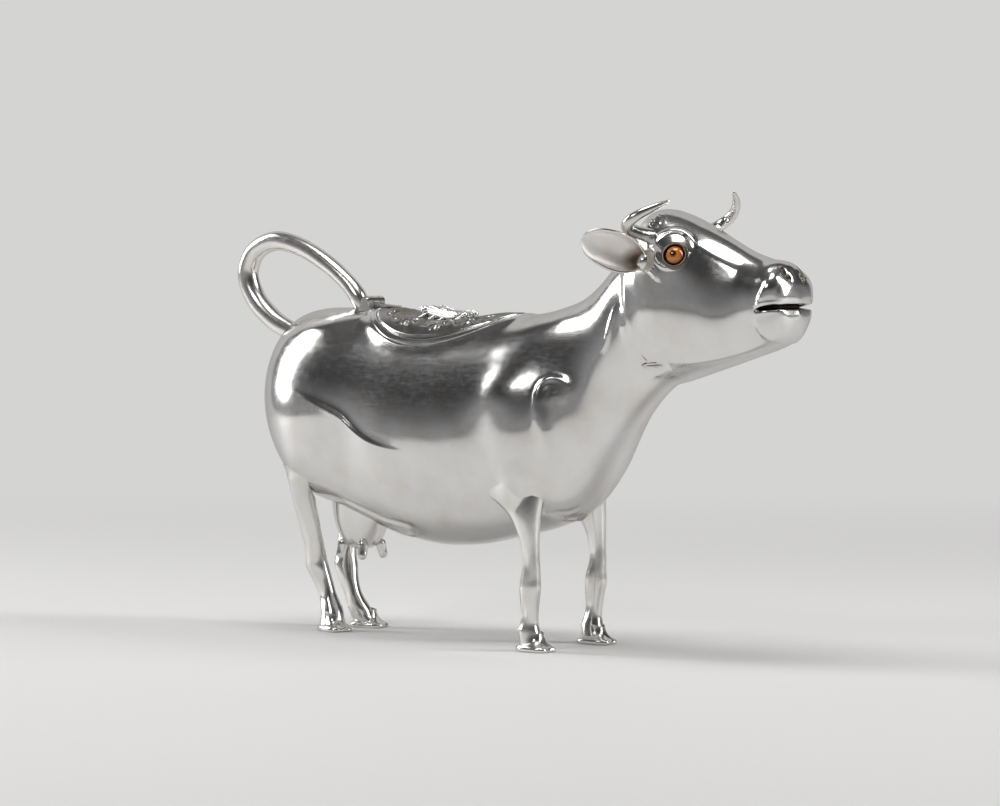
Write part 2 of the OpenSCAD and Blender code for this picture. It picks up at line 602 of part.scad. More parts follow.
// Lid: a saddle that follows the back inside the rim
lid_q = rim_w + lid_gap;
lid_rings = 6;
lid_dip = 2.1; // how far its middle is hollowed,
dip_share = 0.82; // over this much of its length
function hollow(r) = lid_dip * max(0, 1 - (r / dip_share) ^ 2) ^ 2;
function lid_place(t, r, h) = let (e = plan(t, lid_q), x = hole_x + (e[0] - hole_x) * r)
    back(x, e[1] * r, h - hollow(r));
function lid_face(h) = concat(
    [for (r = [lid_rings : -1 : 1], i = [0 : hole_sides - 1])
        lid_place(360 * i / hole_sides, r / lid_rings, h)],
    [back(hole_x, 0, h - lid_dip)]);
module lid_plate() {
    m = hole_sides;
    n = m * lid_rings + 1;
    fan = (lid_rings - 1) * m;
    top = concat(
        [for (i = [0 : lid_rings - 2], j = [0 : m - 1], k = [0, 1])
            let (a = i * m + j, b = i * m + (j + 1) % m) k == 0 ? [a, b + m, b] : [a, a + m, b + m]],
        [for (j = [0 : m - 1]) [fan + j, n - 1, fan + (j + 1) % m]]);
    polyhedron(
        points = concat(lid_face(lid_top), lid_face(lid_low)),
        faces = concat(
            top,
            [for (f = top) [f[2] + n, f[1] + n, f[0] + n]],
            [for (j = [0 : m - 1]) [j, (j + 1) % m, n + (j + 1) % m, n + j]]));
}
module lid() { color(silver) lid_plate(); }

// Flange: a strip under the lid that keeps it over the hole
flange_gap = 0.4;
flange_t = 0.7;
flange_fall = 0.08; // its top's inner edge, which stays clear of the lid's hollow
flange_q = ledge_q + flange_gap;
module lid_flange() {
    color(silver) band([
        [flange_q, lid_low - flange_h], [flange_q, lid_low - seat_gap],
        [flange_q + flange_t, lid_low - flange_fall], [flange_q + flange_t, lid_low - flange_h]]);
}

// Hinge: its barrel lies across the back, just behind the rim
crest = back(hole_start, 0, 0)[2];
plate_top = crest + rim_proud * 0.8;
plate_end = hole_start - lid_gap;
axis_x = hole_start - barrel_d * 1.05;
axis_z = plate_top + knuckle_gap + barrel_d / 2;
middle_l = barrel_l * 0.4;
fixed_l = (barrel_l - middle_l) / 2 - knuckle_gap;
fixed_bore = pin_d + pin_gap / 2;
module across(l, y) { translate([axis_x, y + l / 2, axis_z]) rotate([90, 0, 0]) children(); }
function plate_ring(y) = let (
    p = plate_l * 0.3 * abs(2 * y / plate_w) ^ 3,
    low = crest - plate_w / 4)
    [[hole_start - plate_l + p, y, low], [plate_end, y, low],
     [plate_end, y, plate_top], [hole_start - plate_l + p, y, plate_top]];
plate_slices = 8;
module hinge_plate() {
    color(silver) difference() {
        chain([for (k = [0 : plate_slices]) plate_ring(plate_w * (k / plate_slices - 0.5))]);
        trunk_core();
    }
}
module knuckle(l, y) {
    across(l, y) cylinder(d = barrel_d, h = l, $fn = 32);
}
module bore(d) { across(barrel_l + 2 * over, 0) cylinder(d = d, h = barrel_l + 2 * over, $fn = 32); }
foot_l = barrel_d;
module hinge_fixed_knuckles() {
    out = middle_l / 2 + knuckle_gap + fixed_l / 2;
    color(silver) difference() {
        for (y = [-out, out]) {
            knuckle(fixed_l, y);
            translate([axis_x - foot_l / 2, y - fixed_l / 2, plate_top])
                cube([foot_l, fixed_l, axis_z - plate_top]);
        }
        bore(fixed_bore);
    }
}
pin_head_d = pin_d * 1.6;
pin_head_t = 0.35;
module hinge_pin() {
    color(silver) {
        across(barrel_l, 0) cylinder(d = pin_d, h = barrel_l, $fn = 32);
        for (s = [-1, 1]) across(pin_head_t, s * (barrel_l + pin_head_t) / 2)
            cylinder(d = pin_head_d, h = pin_head_t, $fn = 32);
    }
}
// Leaf: reaches from the turning knuckle over the rim on to the lid
leaf_l = 4.6;
leaf_t = 0.5;
leaf_stations = 4;
module lid_hinge_leaf() {
    reach = hole_start + leaf_l - axis_x;
    under = [for (k = [0 : leaf_stations])
        let (p = back(axis_x + reach * k / leaf_stations, 0, lid_top + seat_gap)) [p[0], p[2]]];
    tip = under[leaf_stations];
    color(silver) difference() {
        union() {
            knuckle(middle_l, 0);
            translate([0, middle_l / 2, 0]) rotate([90, 0, 0]) linear_extrude(middle_l)
                polygon(concat(under, [[tip[0], tip[1] + leaf_t / 2],
                    [axis_x + barrel_d * 0.6, under[0][1] + leaf_t], [axis_x, axis_z]]));
        }
        bore(pin_d + 2 * pin_gap);
    }
}

// Fly: the knob, cast in one and soldered on the lid, its head towards the tail.
// Along its length, half width, and height of its middle as shares of its height.
fly_h = fly_l * 0.24;
fly_shares = [
    [-0.50, 0.08, 0.21], [-0.48, 0.22, 0.20], [-0.44, 0.28, 0.20], [-0.40, 0.21, 0.23], [-0.37, 0.14, 0.27],
    [-0.32, 0.18, 0.28], [-0.27, 0.34, 0.25], [-0.17, 0.42, 0.29], [-0.06, 0.38, 0.25], [0.00, 0.29, 0.18],
    [0.11, 0.35, 0.21], [0.26, 0.31, 0.20], [0.36, 0.22, 0.22], [0.42, 0.13, 0.24], [0.45, 0.18, 0.26],
    [0.48, 0.16, 0.26], [0.50, 0.06, 0.26]];
// A wing, folded like half a roof: along, out and up, and half width down its slope
wing_shares = [
    [-0.225, 0.34, 0.46, 0.14], [-0.16, 0.42, 0.42, 0.28], [-0.05, 0.51, 0.37, 0.31],
    [0.10, 0.60, 0.32, 0.28],
    [0.24, 0.67, 0.26, 0.20], [0.31, 0.70, 0.21, 0.12]];
wing_slope = unit([0, 0.55, -0.84]);
wing_t = 0.5;
fly_x = hole_x - fly_l * 0.085;
function over_lid(x, y, z) = let (
    at = fly_x + x * fly_l,
    p = back(at, 0, lid_top - hollow(abs(at - hole_x) / (hole_l / 2))))
    [p[0], y * fly_h, p[2] + z * fly_h];
leg_shares = [-0.28, -0.12, 0.06];
fly_leg_d = 0.7;
module fly() {
    color(silver) difference() {
        union() {
            chain([for (s = fly_shares)
                ring(over_lid(s[0], 0, s[2]), [0, s[1] * fly_h, 0], [0, 0, s[1] * fly_h], 10)]);
            for (m = [0, 1]) mirror([0, m, 0]) {
                chain([for (s = wing_shares) ring(over_lid(s[0], s[1], s[2]), wing_slope * (s[3] * fly_h),
                    cross(wing_slope, [1, 0, 0]) * (wing_t / 2), 8)]);
                for (x = leg_shares) hull() {
                    translate(over_lid(x + 0.03, 0.2, 0.2)) sphere(d = fly_leg_d, $fn = 6);
                    translate(over_lid(x - 0.04, 0.95, -0.06)) sphere(d = fly_leg_d, $fn = 6);
                }
            }
        }
        lid_plate();
    }
}

// The origin stands on the ground, midway between the tail and the nose
tail_back = min([for (r = tube_rings(tail_path, [0, 1, 0], tail_sides), p = r) p[0]]);
nose = max([for (r = head_outer, p = r) p[0]]);
module at_origin() { translate([-(tail_back + nose) / 2, 0, 0]) children(); }

at_origin() body_right_half();
at_origin() body_left_half();
at_origin() head_right_half();
at_origin() head_left_half();
at_origin() right_ear();
at_origin() left_ear();
at_origin() right_horn();
at_origin() left_horn();
at_origin() right_eye_collet();
at_origin() left_eye_collet();
at_origin() right_eye();
at_origin() left_eye();
at_origin() right_fore_leg();
at_origin() left_fore_leg();
at_origin() right_hind_leg();
at_origin() left_hind_leg();
at_origin() udder();
at_origin() teats();
at_origin() tail();
at_origin() filler_rim();
at_origin() hinge_plate();
at_origin() hinge_fixed_knuckles();
at_origin() hinge_pin();
at_origin() lid_hinge_leaf();
at_origin() lid();
at_origin() lid_flange();
at_origin() fly();
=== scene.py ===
import math
import bpy
import numpy as np
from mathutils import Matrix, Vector


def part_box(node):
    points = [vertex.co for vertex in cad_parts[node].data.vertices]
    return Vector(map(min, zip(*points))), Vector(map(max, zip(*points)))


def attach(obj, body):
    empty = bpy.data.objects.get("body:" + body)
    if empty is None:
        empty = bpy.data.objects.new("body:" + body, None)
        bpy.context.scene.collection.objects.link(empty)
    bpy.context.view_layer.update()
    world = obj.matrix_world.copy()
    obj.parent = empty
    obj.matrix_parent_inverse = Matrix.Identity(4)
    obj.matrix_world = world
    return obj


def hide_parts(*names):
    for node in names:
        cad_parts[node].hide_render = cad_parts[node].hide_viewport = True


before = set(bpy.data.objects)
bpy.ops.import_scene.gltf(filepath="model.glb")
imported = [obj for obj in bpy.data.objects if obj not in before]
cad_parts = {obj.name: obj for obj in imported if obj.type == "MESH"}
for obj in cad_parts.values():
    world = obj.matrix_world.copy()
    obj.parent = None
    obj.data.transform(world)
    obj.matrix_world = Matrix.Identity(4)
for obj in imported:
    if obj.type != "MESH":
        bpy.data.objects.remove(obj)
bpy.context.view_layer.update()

# Pieces are drawn in millimetres from the rump, as in the CAD source. The frame's origin lies MID along.
MID = -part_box("body_right_half")[0].x * 1000

# Driving sizes of the CAD source, millimetres
trunk_l, trunk_w, back_h, belly_h, wall = 93.6, 32.6, 65.8, 18.8, 0.9
head_l, head_h, head_w = 37.8, 33.8, 19.4
hole_l, hole_w, egg, rim_w, rim_proud, ledge_w = 39.0, 20.4, 0.16, 1.0, 0.4, 0.9
lid_gap, lid_t, flange_h, lid_dip, dip_share = 0.15, 0.9, 1.6, 2.1, 0.82
leg_d, tail_d, loop_h, loop_back = 3.6, 4.3, 14.2, 10.8
ear_l, ear_w, horn_d, horn_reach, fly_l = 13.0, 7.6, 2.6, 15.6, 14.6
barrel_h = back_h - belly_h

# Sections of the trunk and the head, in shares of their length, height and half width: the top's x and z,
# the bottom's x and z, the half width, the fullness of the upper and lower half, and where it is widest
TRUNK = [
    [0, 0.67, 0, 0.66, 0.02, 2, 2, 0.5],
    [0.008, 0.775, 0.009, 0.54, 0.34, 2, 2, 0.5],
    [0.024, 0.872, 0.032, 0.385, 0.545, 2, 2, 0.5],
    [0.061, 0.955, 0.07, 0.255, 0.72, 2.1, 2, 0.5],
    [0.123, 1, 0.134, 0.175, 0.86, 2.2, 2, 0.5],
    [0.214, 1.008, 0.214, 0.13, 0.957, 2.1, 2, 0.5],
    [0.32, 1, 0.32, 0.064, 0.98, 1.9, 2, 0.49],
    [0.449, 0.993, 0.449, 0.004, 1, 1.8, 2, 0.48],
    [0.577, 0.985, 0.572, 0.008, 0.98, 1.8, 2, 0.47],
    [0.684, 0.979, 0.68, 0.05, 0.92, 1.9, 2, 0.46],
    [0.759, 0.991, 0.78, 0.097, 0.835, 2, 2, 0.46],
    [0.818, 1.018, 0.863, 0.17, 0.72, 2, 2, 0.46],
    [0.866, 1.052, 0.919, 0.287, 0.632, 2, 2, 0.47],
    [0.907, 1.106, 0.957, 0.419, 0.577, 2, 2, 0.48],
    [0.947, 1.18, 1.009, 0.565, 0.548, 2, 2, 0.5],
    [1, 1.3, 1.078, 0.69, 0.528, 2, 2, 0.5]]
HEAD = [
    [0.065, 0.95, 0.3, 0.035, 0.96, 2.1, 2, 0.5],
    [0.155, 1, 0.38, 0.062, 1, 2.2, 2.1, 0.5],
    [0.275, 0.98, 0.475, 0.095, 0.99, 2.2, 2.2, 0.5],
    [0.42, 0.912, 0.567, 0.125, 0.9, 2.2, 2.2, 0.5],
    [0.553, 0.838, 0.66, 0.157, 0.785, 2.1, 2.2, 0.48],
    [0.685, 0.766, 0.749, 0.187, 0.712, 2.1, 2.1, 0.48],
    [0.8, 0.722, 0.826, 0.214, 0.712, 2.1, 2.1, 0.48],
    [0.882, 0.69, 0.887, 0.244, 0.7, 2.2, 2.2, 0.48],
    [0.938, 0.64, 0.93, 0.284, 0.62, 2.2, 2.2, 0.5],
    [0.969, 0.58, 0.963, 0.345, 0.45, 2.1, 2.1, 0.5],
    [0.98, 0.5, 0.98, 0.415, 0.06, 2, 2, 0.5]]
# Swellings and hollows of the sides: place, reach both ways and height, in the same shares
TRUNK_SWELLS = [
    [0.135, 0.5, 0.1, 0.24, 0.07], [0.135, 0.26, 0.055, 0.13, 0.11], [0.33, 0.43, 0.07, 0.22, -0.05],
    [0.8, 0.52, 0.08, 0.24, 0.08], [0.79, 0.24, 0.045, 0.12, 0.16], [0.69, 0.42, 0.045, 0.23, -0.045]]
HEAD_SWELLS = [
    [0.38, 0.77, 0.12, 0.14, 0.13], [0.3, 0.33, 0.16, 0.2, 0.06], [0.62, 0.56, 0.12, 0.2, -0.05],
    [0.89, 0.6, 0.09, 0.12, 0.05]]


def sections(rows, x, z, length, height, width):
    return np.array(rows) * [length, height, length, height, width, 1, 1, 1] + [x, z, x, z, 0, 0, 0, 0]


def swellings(rows, x, z, length, height, width):
    return np.array(rows) * [length, height, length, height, width] + [x, z, 0, 0, 0]


trunk_frame = (0, belly_h, trunk_l, barrel_h, trunk_w / 2)
trunk = sections(TRUNK, *trunk_frame)
head_at = trunk[-1, (0, 3)]
head_frame = (*head_at, head_l, head_h, head_w / 2)
ROWS = np.concatenate([trunk, sections(HEAD, *head_frame)])
SWELLS = np.concatenate([swellings(TRUNK_SWELLS, *trunk_frame), swellings(HEAD_SWELLS, *head_frame)])
SEAM_X, END_X = trunk_l, ROWS[-1, 0]
hole_x = trunk_l * 0.495
hole_a, hole_b = hole_x - hole_l / 2, hole_x + hole_l / 2


def unit(v):
    v = np.asarray(v, float)
    return v / np.maximum(np.linalg.norm(v, axis=-1, keepdims=True), 1e-12)


def bell(x, at, reach):
    """A soft hump of height 1 round a place."""
    return np.exp(-((x - at) / reach) ** 2)


def rise(x, start, end):
    """From 0 at the start to 1 at the end."""
    return np.clip((x - start) / (end - start), 0, 1)


def ease(t):
    return t * t * (3 - 2 * t)


def slopes(rows):
    last = len(rows) - 1
    ends = [(min(i + 1, last), max(i - 1, 0)) for i in range(last + 1)]
    return np.array([(rows[b] - rows[a]) / (rows[b, 0] - rows[a, 0]) for b, a in ends])


SLOPES = slopes(ROWS)


def row_at(x):
    """The section at a station, on a smooth curve through the rows."""
    x = np.clip(np.asarray(x, float), 0, END_X)
    i = np.clip(np.searchsorted(ROWS[:, 0], x, side="right") - 1, 0, len(ROWS) - 2)
    h = (ROWS[i + 1, 0] - ROWS[i, 0])[..., None]
    t = (x - ROWS[i, 0])[..., None] / h
    return (ROWS[i] * (2 * t ** 3 - 3 * t ** 2 + 1) + SLOPES[i] * h * (t ** 3 - 2 * t ** 2 + t)
            + ROWS[i + 1] * (3 * t ** 2 - 2 * t ** 3) + SLOPES[i + 1] * h * (t ** 3 - t ** 2))


def skin(x, a):
    """Points of the right-hand side at stations x and angles a, degrees down from the top."""
    r = row_at(x)
    a = np.radians(a)
    c, s = np.cos(a), np.sin(a)
    up = c > 0
    power = 2 / np.where(up, r[..., 5], r[..., 6])
    mx = r[..., 2] + (r[..., 0] - r[..., 2]) * r[..., 7]
    mz = r[..., 3] + (r[..., 1] - r[..., 3]) * r[..., 7]
    k = np.abs(c) ** power
    px = mx + np.where(up, r[..., 0] - mx, r[..., 2] - mx) * k
    pz = mz + np.where(up, r[..., 1] - mz, r[..., 3] - mz) * k
    swell = sum(h * np.exp(-((px - sx) / dx) ** 2 - ((pz - sz) / dz) ** 2) for sx, sz, dx, dz, h in SWELLS)
    side = np.sign(s) * np.abs(s) ** power
    return np.stack([px, -side * (r[..., 4] + swell), pz], -1)


def outward(x, a, d=0.05):
    x, a = np.broadcast_arrays(np.asarray(x, float), np.asarray(a, float))
    along = skin(np.minimum(x + d, END_X), a) - skin(np.maximum(x - d, 0), a)
    return unit(np.cross(skin(x, a + 1) - skin(x, a - 1), along))


def edge_y(x):
    """Half width of the filling hole."""
    u = (x - hole_x) / (hole_l / 2)
    return hole_w / 2 * np.sqrt(np.maximum(0, 1 - u ** 2)) * (1 - egg * u)


def angle_of(x, y, fullness=5):
    """Angle at which the skin is y wide, from the section's top, or from its bottom with fullness=6."""
    r = row_at(x)
    return np.degrees(np.arcsin(np.minimum(1, (np.abs(y) / r[..., 4]) ** (r[..., fullness] / 2))))


def back(x, y, h):
    """A place on the back in plan, and h above the skin."""
    a = -np.sign(y) * angle_of(x, y)
    return skin(x, a) + outward(x, a) * np.asarray(h, float)[..., None]


def belly_z(x, y):
    return skin(x, 180 - angle_of(x, y, fullness=6))[..., 2]


# Meshes
MATS = {}


def metres(p):
    p = np.array(p, float)
    p[..., 0] -= MID
    return p / 1000


def grid_normals(g, close_cols=False, mirror_cols=False, close_rows=False):
    """Normals of a grid of points by central differences."""
    if mirror_cols:
        flip = np.array([1, -1, 1.0])
        e = np.concatenate([g[:, 1:2] * flip, g, g[:, -2:-1] * flip], 1)
        du = e[:, 2:] - e[:, :-2]
    elif close_cols:
        du = np.roll(g, -1, 1) - np.roll(g, 1, 1)
    else:
        du = np.gradient(g, axis=1)
    dv = (np.roll(g, -1, 0) - np.roll(g, 1, 0)) if close_rows else np.gradient(g, axis=0)
    n = np.cross(du, dv)
    length = np.linalg.norm(n, axis=-1)
    for i in (0, -1):
        if not close_rows and length[i].max() < 1e-6:
            n[i] = n[1 if i == 0 else -2].mean(0)
    return unit(n)


def grid_faces(rows, cols, close_cols=False, close_rows=False):
    i = np.arange(rows if close_rows else rows - 1)[:, None]
    j = np.arange(cols if close_cols else cols - 1)[None, :]
    a = i * cols + j
    b = i * cols + (j + 1) % cols
    c = (i + 1) % rows * cols + (j + 1) % cols
    d = (i + 1) % rows * cols + j
    return [tuple(q) for q in np.stack([a, b, c, d], -1).reshape(-1, 4).tolist()]


def reversed_faces(f):
    return [q[::-1] for q in f]


def surface(g, close_rows=False):
    """Vertices, faces and outward normals of a grid whose rows are closed rings."""
    n = grid_normals(g, close_cols=True, close_rows=close_rows)
    f = grid_faces(*g.shape[:2], close_cols=True, close_rows=close_rows)
    if ((g - g.mean(1, keepdims=True)) * n).sum() < 0:
        n, f = -n, reversed_faces(f)
    return g.reshape(-1, 3), f, n.reshape(-1, 3)


def face_normal(v, f):
    return np.cross(v[f[1]] - v[f[0]], v[f[2]] - v[f[1]])


def join(*parts):
    vs, fs, ns, k = [], [], [], 0
    for v, f, n in parts:
        vs.append(v)
        ns.append(n)
        fs += [tuple(i + k for i in q) for q in f]
        k += len(v)
    return np.concatenate(vs), fs, np.concatenate(ns)


def mirrored(part):
    v, f, n = part
    s = np.array([1, -1, 1.0])
    return v * s, reversed_faces(f), n * s


def curve(path, steps=8):
    """A smooth curve through points, or through rows of points and measures."""
    p = np.asarray(path, float)
    if len(p) < 3:
        return p
    out = []
    for i in range(len(p) - 1):
        a, b, c, d = p[max(i - 1, 0)], p[i], p[i + 1], p[min(i + 2, len(p) - 1)]
        for k in range(steps):
            t = k / steps
            out.append((2 * b + (c - a) * t + (2 * a - 5 * b + 4 * c - d) * t ** 2
                        + (3 * b - a - 3 * c + d) * t ** 3) / 2)
    return np.array(out + [p[-1]])


def tube(path, sides, ref=(0, 0, 1), shape=None):
    """Rings round a path whose rows are x, y, z and radius, closed at both ends."""
    p = np.asarray(path, float)
    c, r = p[:, :3], p[:, 3]
    t = unit(np.gradient(c, axis=0))
    u = unit(np.cross(t, np.asarray(ref, float)))
    w = np.cross(t, u)
    a = np.linspace(0, 2 * np.pi, sides, endpoint=False)
    k = np.ones((len(p), sides)) if shape is None else shape(np.linspace(0, 1, len(p))[:, None], a[None, :])
    spoke = u[:, None] * np.cos(a)[None, :, None] + w[:, None] * np.sin(a)[None, :, None]
    v, f, n = surface(c[:, None] + spoke * (r[:, None] * k)[..., None])
    turned = f[0][0] != 0
    tip, last = len(v), (len(p) - 1) * sides
    for j in range(sides):
        m = (j + 1) % sides
        ends = [(tip, j, m), (tip + 1, last + m, last + j)]
        f += ends if turned else [(tip, m, j), (tip + 1, last + j, last + m)]
    return np.concatenate([v, [c[0]], [c[-1]]]), f, np.concatenate([n, [-t[0]], [t[-1]]])


def blob(at, axes, n=16):
    """Ellipsoid with half axes as three vectors."""
    ax = np.asarray(axes, float)
    th = np.linspace(0.001, np.pi - 0.001, n)[:, None]
    ph = np.linspace(0, 2 * np.pi, 2 * n, endpoint=False)[None, :]
    d = np.stack([np.sin(th) * np.cos(ph), np.sin(th) * np.sin(ph), np.cos(th) + 0 * ph], -1)
    v = (np.asarray(at, float) + d @ ax).reshape(-1, 3)
    f = grid_faces(n, 2 * n, close_cols=True)
    q = f[len(f) // 2]
    if face_normal(v, q) @ (v[q[0]] - np.asarray(at)) < 0:
        f = reversed_faces(f)
    return v, f, unit(d @ np.linalg.inv(ax).T).reshape(-1, 3)


def piece(name, part, mat, node, body="creamer_body"):
    """A visible piece in place of a CAD node."""
    v, f, n = part
    me = bpy.data.meshes.new(name)
    me.from_pydata(metres(v).tolist(), [], f)
    me.update()
    me.polygons.foreach_set("use_smooth", [True] * len(f))
    me.normals_split_custom_set_from_vertices(n.tolist())
    me.materials.append(MATS[mat])
    ob = bpy.data.objects.new(name, me)
    bpy.context.scene.collection.objects.link(ob)
    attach(ob, body)
    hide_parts(node)
    return ob


def both(name, right, left, mat, node):
    """The right-hand piece and the left-hand one, which is drawn on the right and mirrored here."""
    mats = mat if isinstance(mat, tuple) else (mat, mat)
    return [piece("right_" + name, right, mats[0], "right_" + node),
            piece("left_" + name, mirrored(left), mats[1], "left_" + node)]


# Materials
def add_node(nt, kind, inputs=None, out=0, **settings):
    """Adds a shader node with its settings and inputs, and returns one of its outputs."""
    n = nt.nodes.new("ShaderNode" + kind)
    for key, value in settings.items():
        setattr(n, key, value)
    feed(nt, n, inputs or {})
    return n.outputs[out]


def feed(nt, n, inputs):
    """Sets a node's inputs, each to a value or to another node's output."""
    for key, value in inputs.items():
        if isinstance(value, bpy.types.NodeSocket):
            nt.links.new(value, n.inputs[key])
        else:
            n.inputs[key].default_value = value


def new_material(name):
    m = bpy.data.materials.new(name)
    m.use_nodes = True
    MATS[name] = m
    return m.node_tree, m.node_tree.nodes["Principled BSDF"]


def here(nt):
    return add_node(nt, "TexCoord", out="Object")


def noise(nt, scale, detail=2.0, rough=0.5, stretch=(1, 1, 1), turn=(0, 0, 0)):
    where = add_node(nt, "Mapping", {"Vector": here(nt), "Scale": stretch, "Rotation": turn})
    inputs = {"Vector": where, "Scale": scale, "Detail": detail, "Roughness": rough}
    return add_node(nt, "TexNoise", inputs, "Fac")


def ramp(nt, fac, stops):
    """A colour, or a grey given as one number, that changes with a factor."""
    r = nt.nodes.new("ShaderNodeValToRGB")
    e = r.color_ramp.elements
    while len(e) < len(stops):
        e.new(0.5)
    for k, (place, tone) in enumerate(stops):
        e[k].position = place
        e[k].color = (*(tone if isinstance(tone, tuple) else (tone,) * 3), 1)
    nt.links.new(fac, r.inputs["Fac"])
    return r.outputs["Color"]


def calc(nt, op, a, b):
    return add_node(nt, "Math", {0: a, 1: b}, operation=op)


def vector(nt, op, a, b=(0, 0, 0), out=0):
    return add_node(nt, "VectorMath", {0: a, 1: b}, out, operation=op)


def bump(nt, height, distance, under=None):
    inputs = {"Strength": 1.0, "Distance": distance, "Height": height}
    return add_node(nt, "Bump", inputs if under is None else inputs | {"Normal": under})


def silver(name, tone, rough, dents, grain, tarnish, edge=0.72):
    """Hand-worked silver: slow unevenness of the sheet, wiping marks, and tarnish in patches."""
    nt, shader = new_material(name)
    slow = noise(nt, 55, 1.0)
    fine = noise(nt, 900, 4.0, 0.6)
    wipe = noise(nt, 1.0, 3.0, 0.65, (260, 2600, 2600), (0.2, 0.5, 0.3))
    patch = noise(nt, 140, 3.0, 0.6)
    dark = tuple(c * (1 - tarnish * k) for c, k in zip(tone, (0.30, 0.38, 0.52)))
    bright = tuple(min(1, c * 1.05) for c in tone)
    marks = calc(nt, "ADD", calc(nt, "MULTIPLY", wipe, 0.5), calc(nt, "MULTIPLY", fine, 0.5))
    normal = bump(nt, slow, dents)
    feed(nt, shader, {
        "Metallic": 1.0,
        "Specular Tint": (edge, edge, edge, 1),
        "Base Color": ramp(nt, patch, [(0.30, dark), (0.52, tone), (0.75, bright)]),
        "Roughness": ramp(nt, marks, [(0.30, rough[0]), (0.70, rough[1])]),
        "Normal": bump(nt, fine, grain, normal) if grain else normal})


# Finishes: colour, least and greatest roughness, depth of the dents and of the grain in metres, and tarnish
silver("polished_silver", (0.72, 0.71, 0.70), (0.11, 0.21), 2e-5, 1.2e-6, 0.22)
silver("cast_silver", (0.76, 0.75, 0.73), (0.13, 0.24), 2e-5, 2e-6, 0.35)
silver("leg_silver", (0.78, 0.77, 0.75), (0.17, 0.25), 1e-5, 0, 0.25)
silver("tail_silver", (0.82, 0.80, 0.78), (0.17, 0.28), 2e-5, 3e-6, 0.25)
silver("satin_silver", (0.66, 0.62, 0.57), (0.34, 0.46), 2e-5, 8e-6, 0.15)
silver("chased_silver", (0.50, 0.49, 0.48), (0.16, 0.28), 2e-5, 4e-6, 0.8, edge=0.4)
silver("fly_silver", (0.90, 0.89, 0.87), (0.22, 0.32), 1e-5, 2e-6, 0.2)
# Dark silver: the eye collets' own tone, and painted shade where it lines the nostril hollows
silver("dark_silver_and_nostril_shade", (0.19, 0.16, 0.135), (0.26, 0.38), 2e-5, 4e-6, 0.7)
silver("inner_silver", (0.30, 0.26, 0.21), (0.35, 0.5), 4e-5, 0, 0.8)
silver("mouth_shade", (0.07, 0.055, 0.045), (0.5, 0.7), 2e-5, 0, 0.5)


# Relief
def near(points, path, reach):
    """Points near a path: which, how far off, how far along from 0 to 1, and at which stretch of it."""
    path = np.asarray(path, float)
    flat = points.reshape(-1, 3)
    pick = np.flatnonzero(((flat > path.min(0) - 3 * reach) & (flat < path.max(0) + 3 * reach)).all(1))
    q = flat[pick]
    best, along, stretch = np.full(len(q), 1e9), np.zeros(len(q)), np.zeros(len(q), int)
    seg = np.linalg.norm(np.diff(path, axis=0), axis=1)
    run = np.concatenate([[0], np.cumsum(seg)]) / max(seg.sum(), 1e-9)
    for k in range(len(path) - 1):
        ab = path[k + 1] - path[k]
        t = np.clip(((q - path[k]) @ ab) / max(ab @ ab, 1e-12), 0, 1)
        d = np.linalg.norm(q - path[k] - t[:, None] * ab, axis=1)
        hit = d < best
        best[hit], stretch[hit] = d[hit], k
        along[hit] = (run[k] + t * (run[k + 1] - run[k]))[hit]
    return pick, best, along, stretch


class Relief:
    """Heights over a grid of points, and cuts into it."""

    def __init__(self, points):
        self.points = points
        self.height = np.zeros(points.shape[:-1])
        self.cut = np.zeros(points.shape[:-1])

    def stroke(self, path, width, height, ends=0.2):
        """A round fold along a path, or a crease where the height is negative."""
        pick, d, t, _ = near(self.points, path, width * 1.4)
        fade = np.clip(np.minimum(t, 1 - t) / ends, 0, 1) ** 0.7 if ends else 1.0
        self.height.reshape(-1)[pick] += height * bell(d, 0, width) * fade

    def slit(self, path, width, depth, edge, taper):
        """A narrow cut that starts as a fine point."""
        pick, d, t, _ = near(self.points, path, width * 2 + edge)
        w = width * np.clip(t / taper, 0, 1) ** 0.6 - edge * 3 * np.clip(1 - t / 0.03, 0, 1)
        cut = self.cut.reshape(-1)
        cut[pick] = np.maximum(cut[pick], depth / (1 + np.exp(np.clip((d - w) / edge, -40, 40))))

    def step(self, path, height, edge, reach, ends=0.15):
        """Raises what lies to the left of a path in side view, fading away from it."""
        pick, d, t, k = near(self.points, path, reach)
        q, ab = self.points.reshape(-1, 3)[pick] - path[k], np.diff(path, axis=0)[k]
        d = d * np.sign(ab[:, 0] * q[:, 2] - ab[:, 2] * q[:, 0])
        fade = ease(np.clip(np.minimum(t, 1 - t) / ends, 0, 1))
        raised = height / (1 + np.exp(-d / edge)) * bell(np.maximum(d, 0), 0, reach)
        self.height.reshape(-1)[pick] += raised * fade


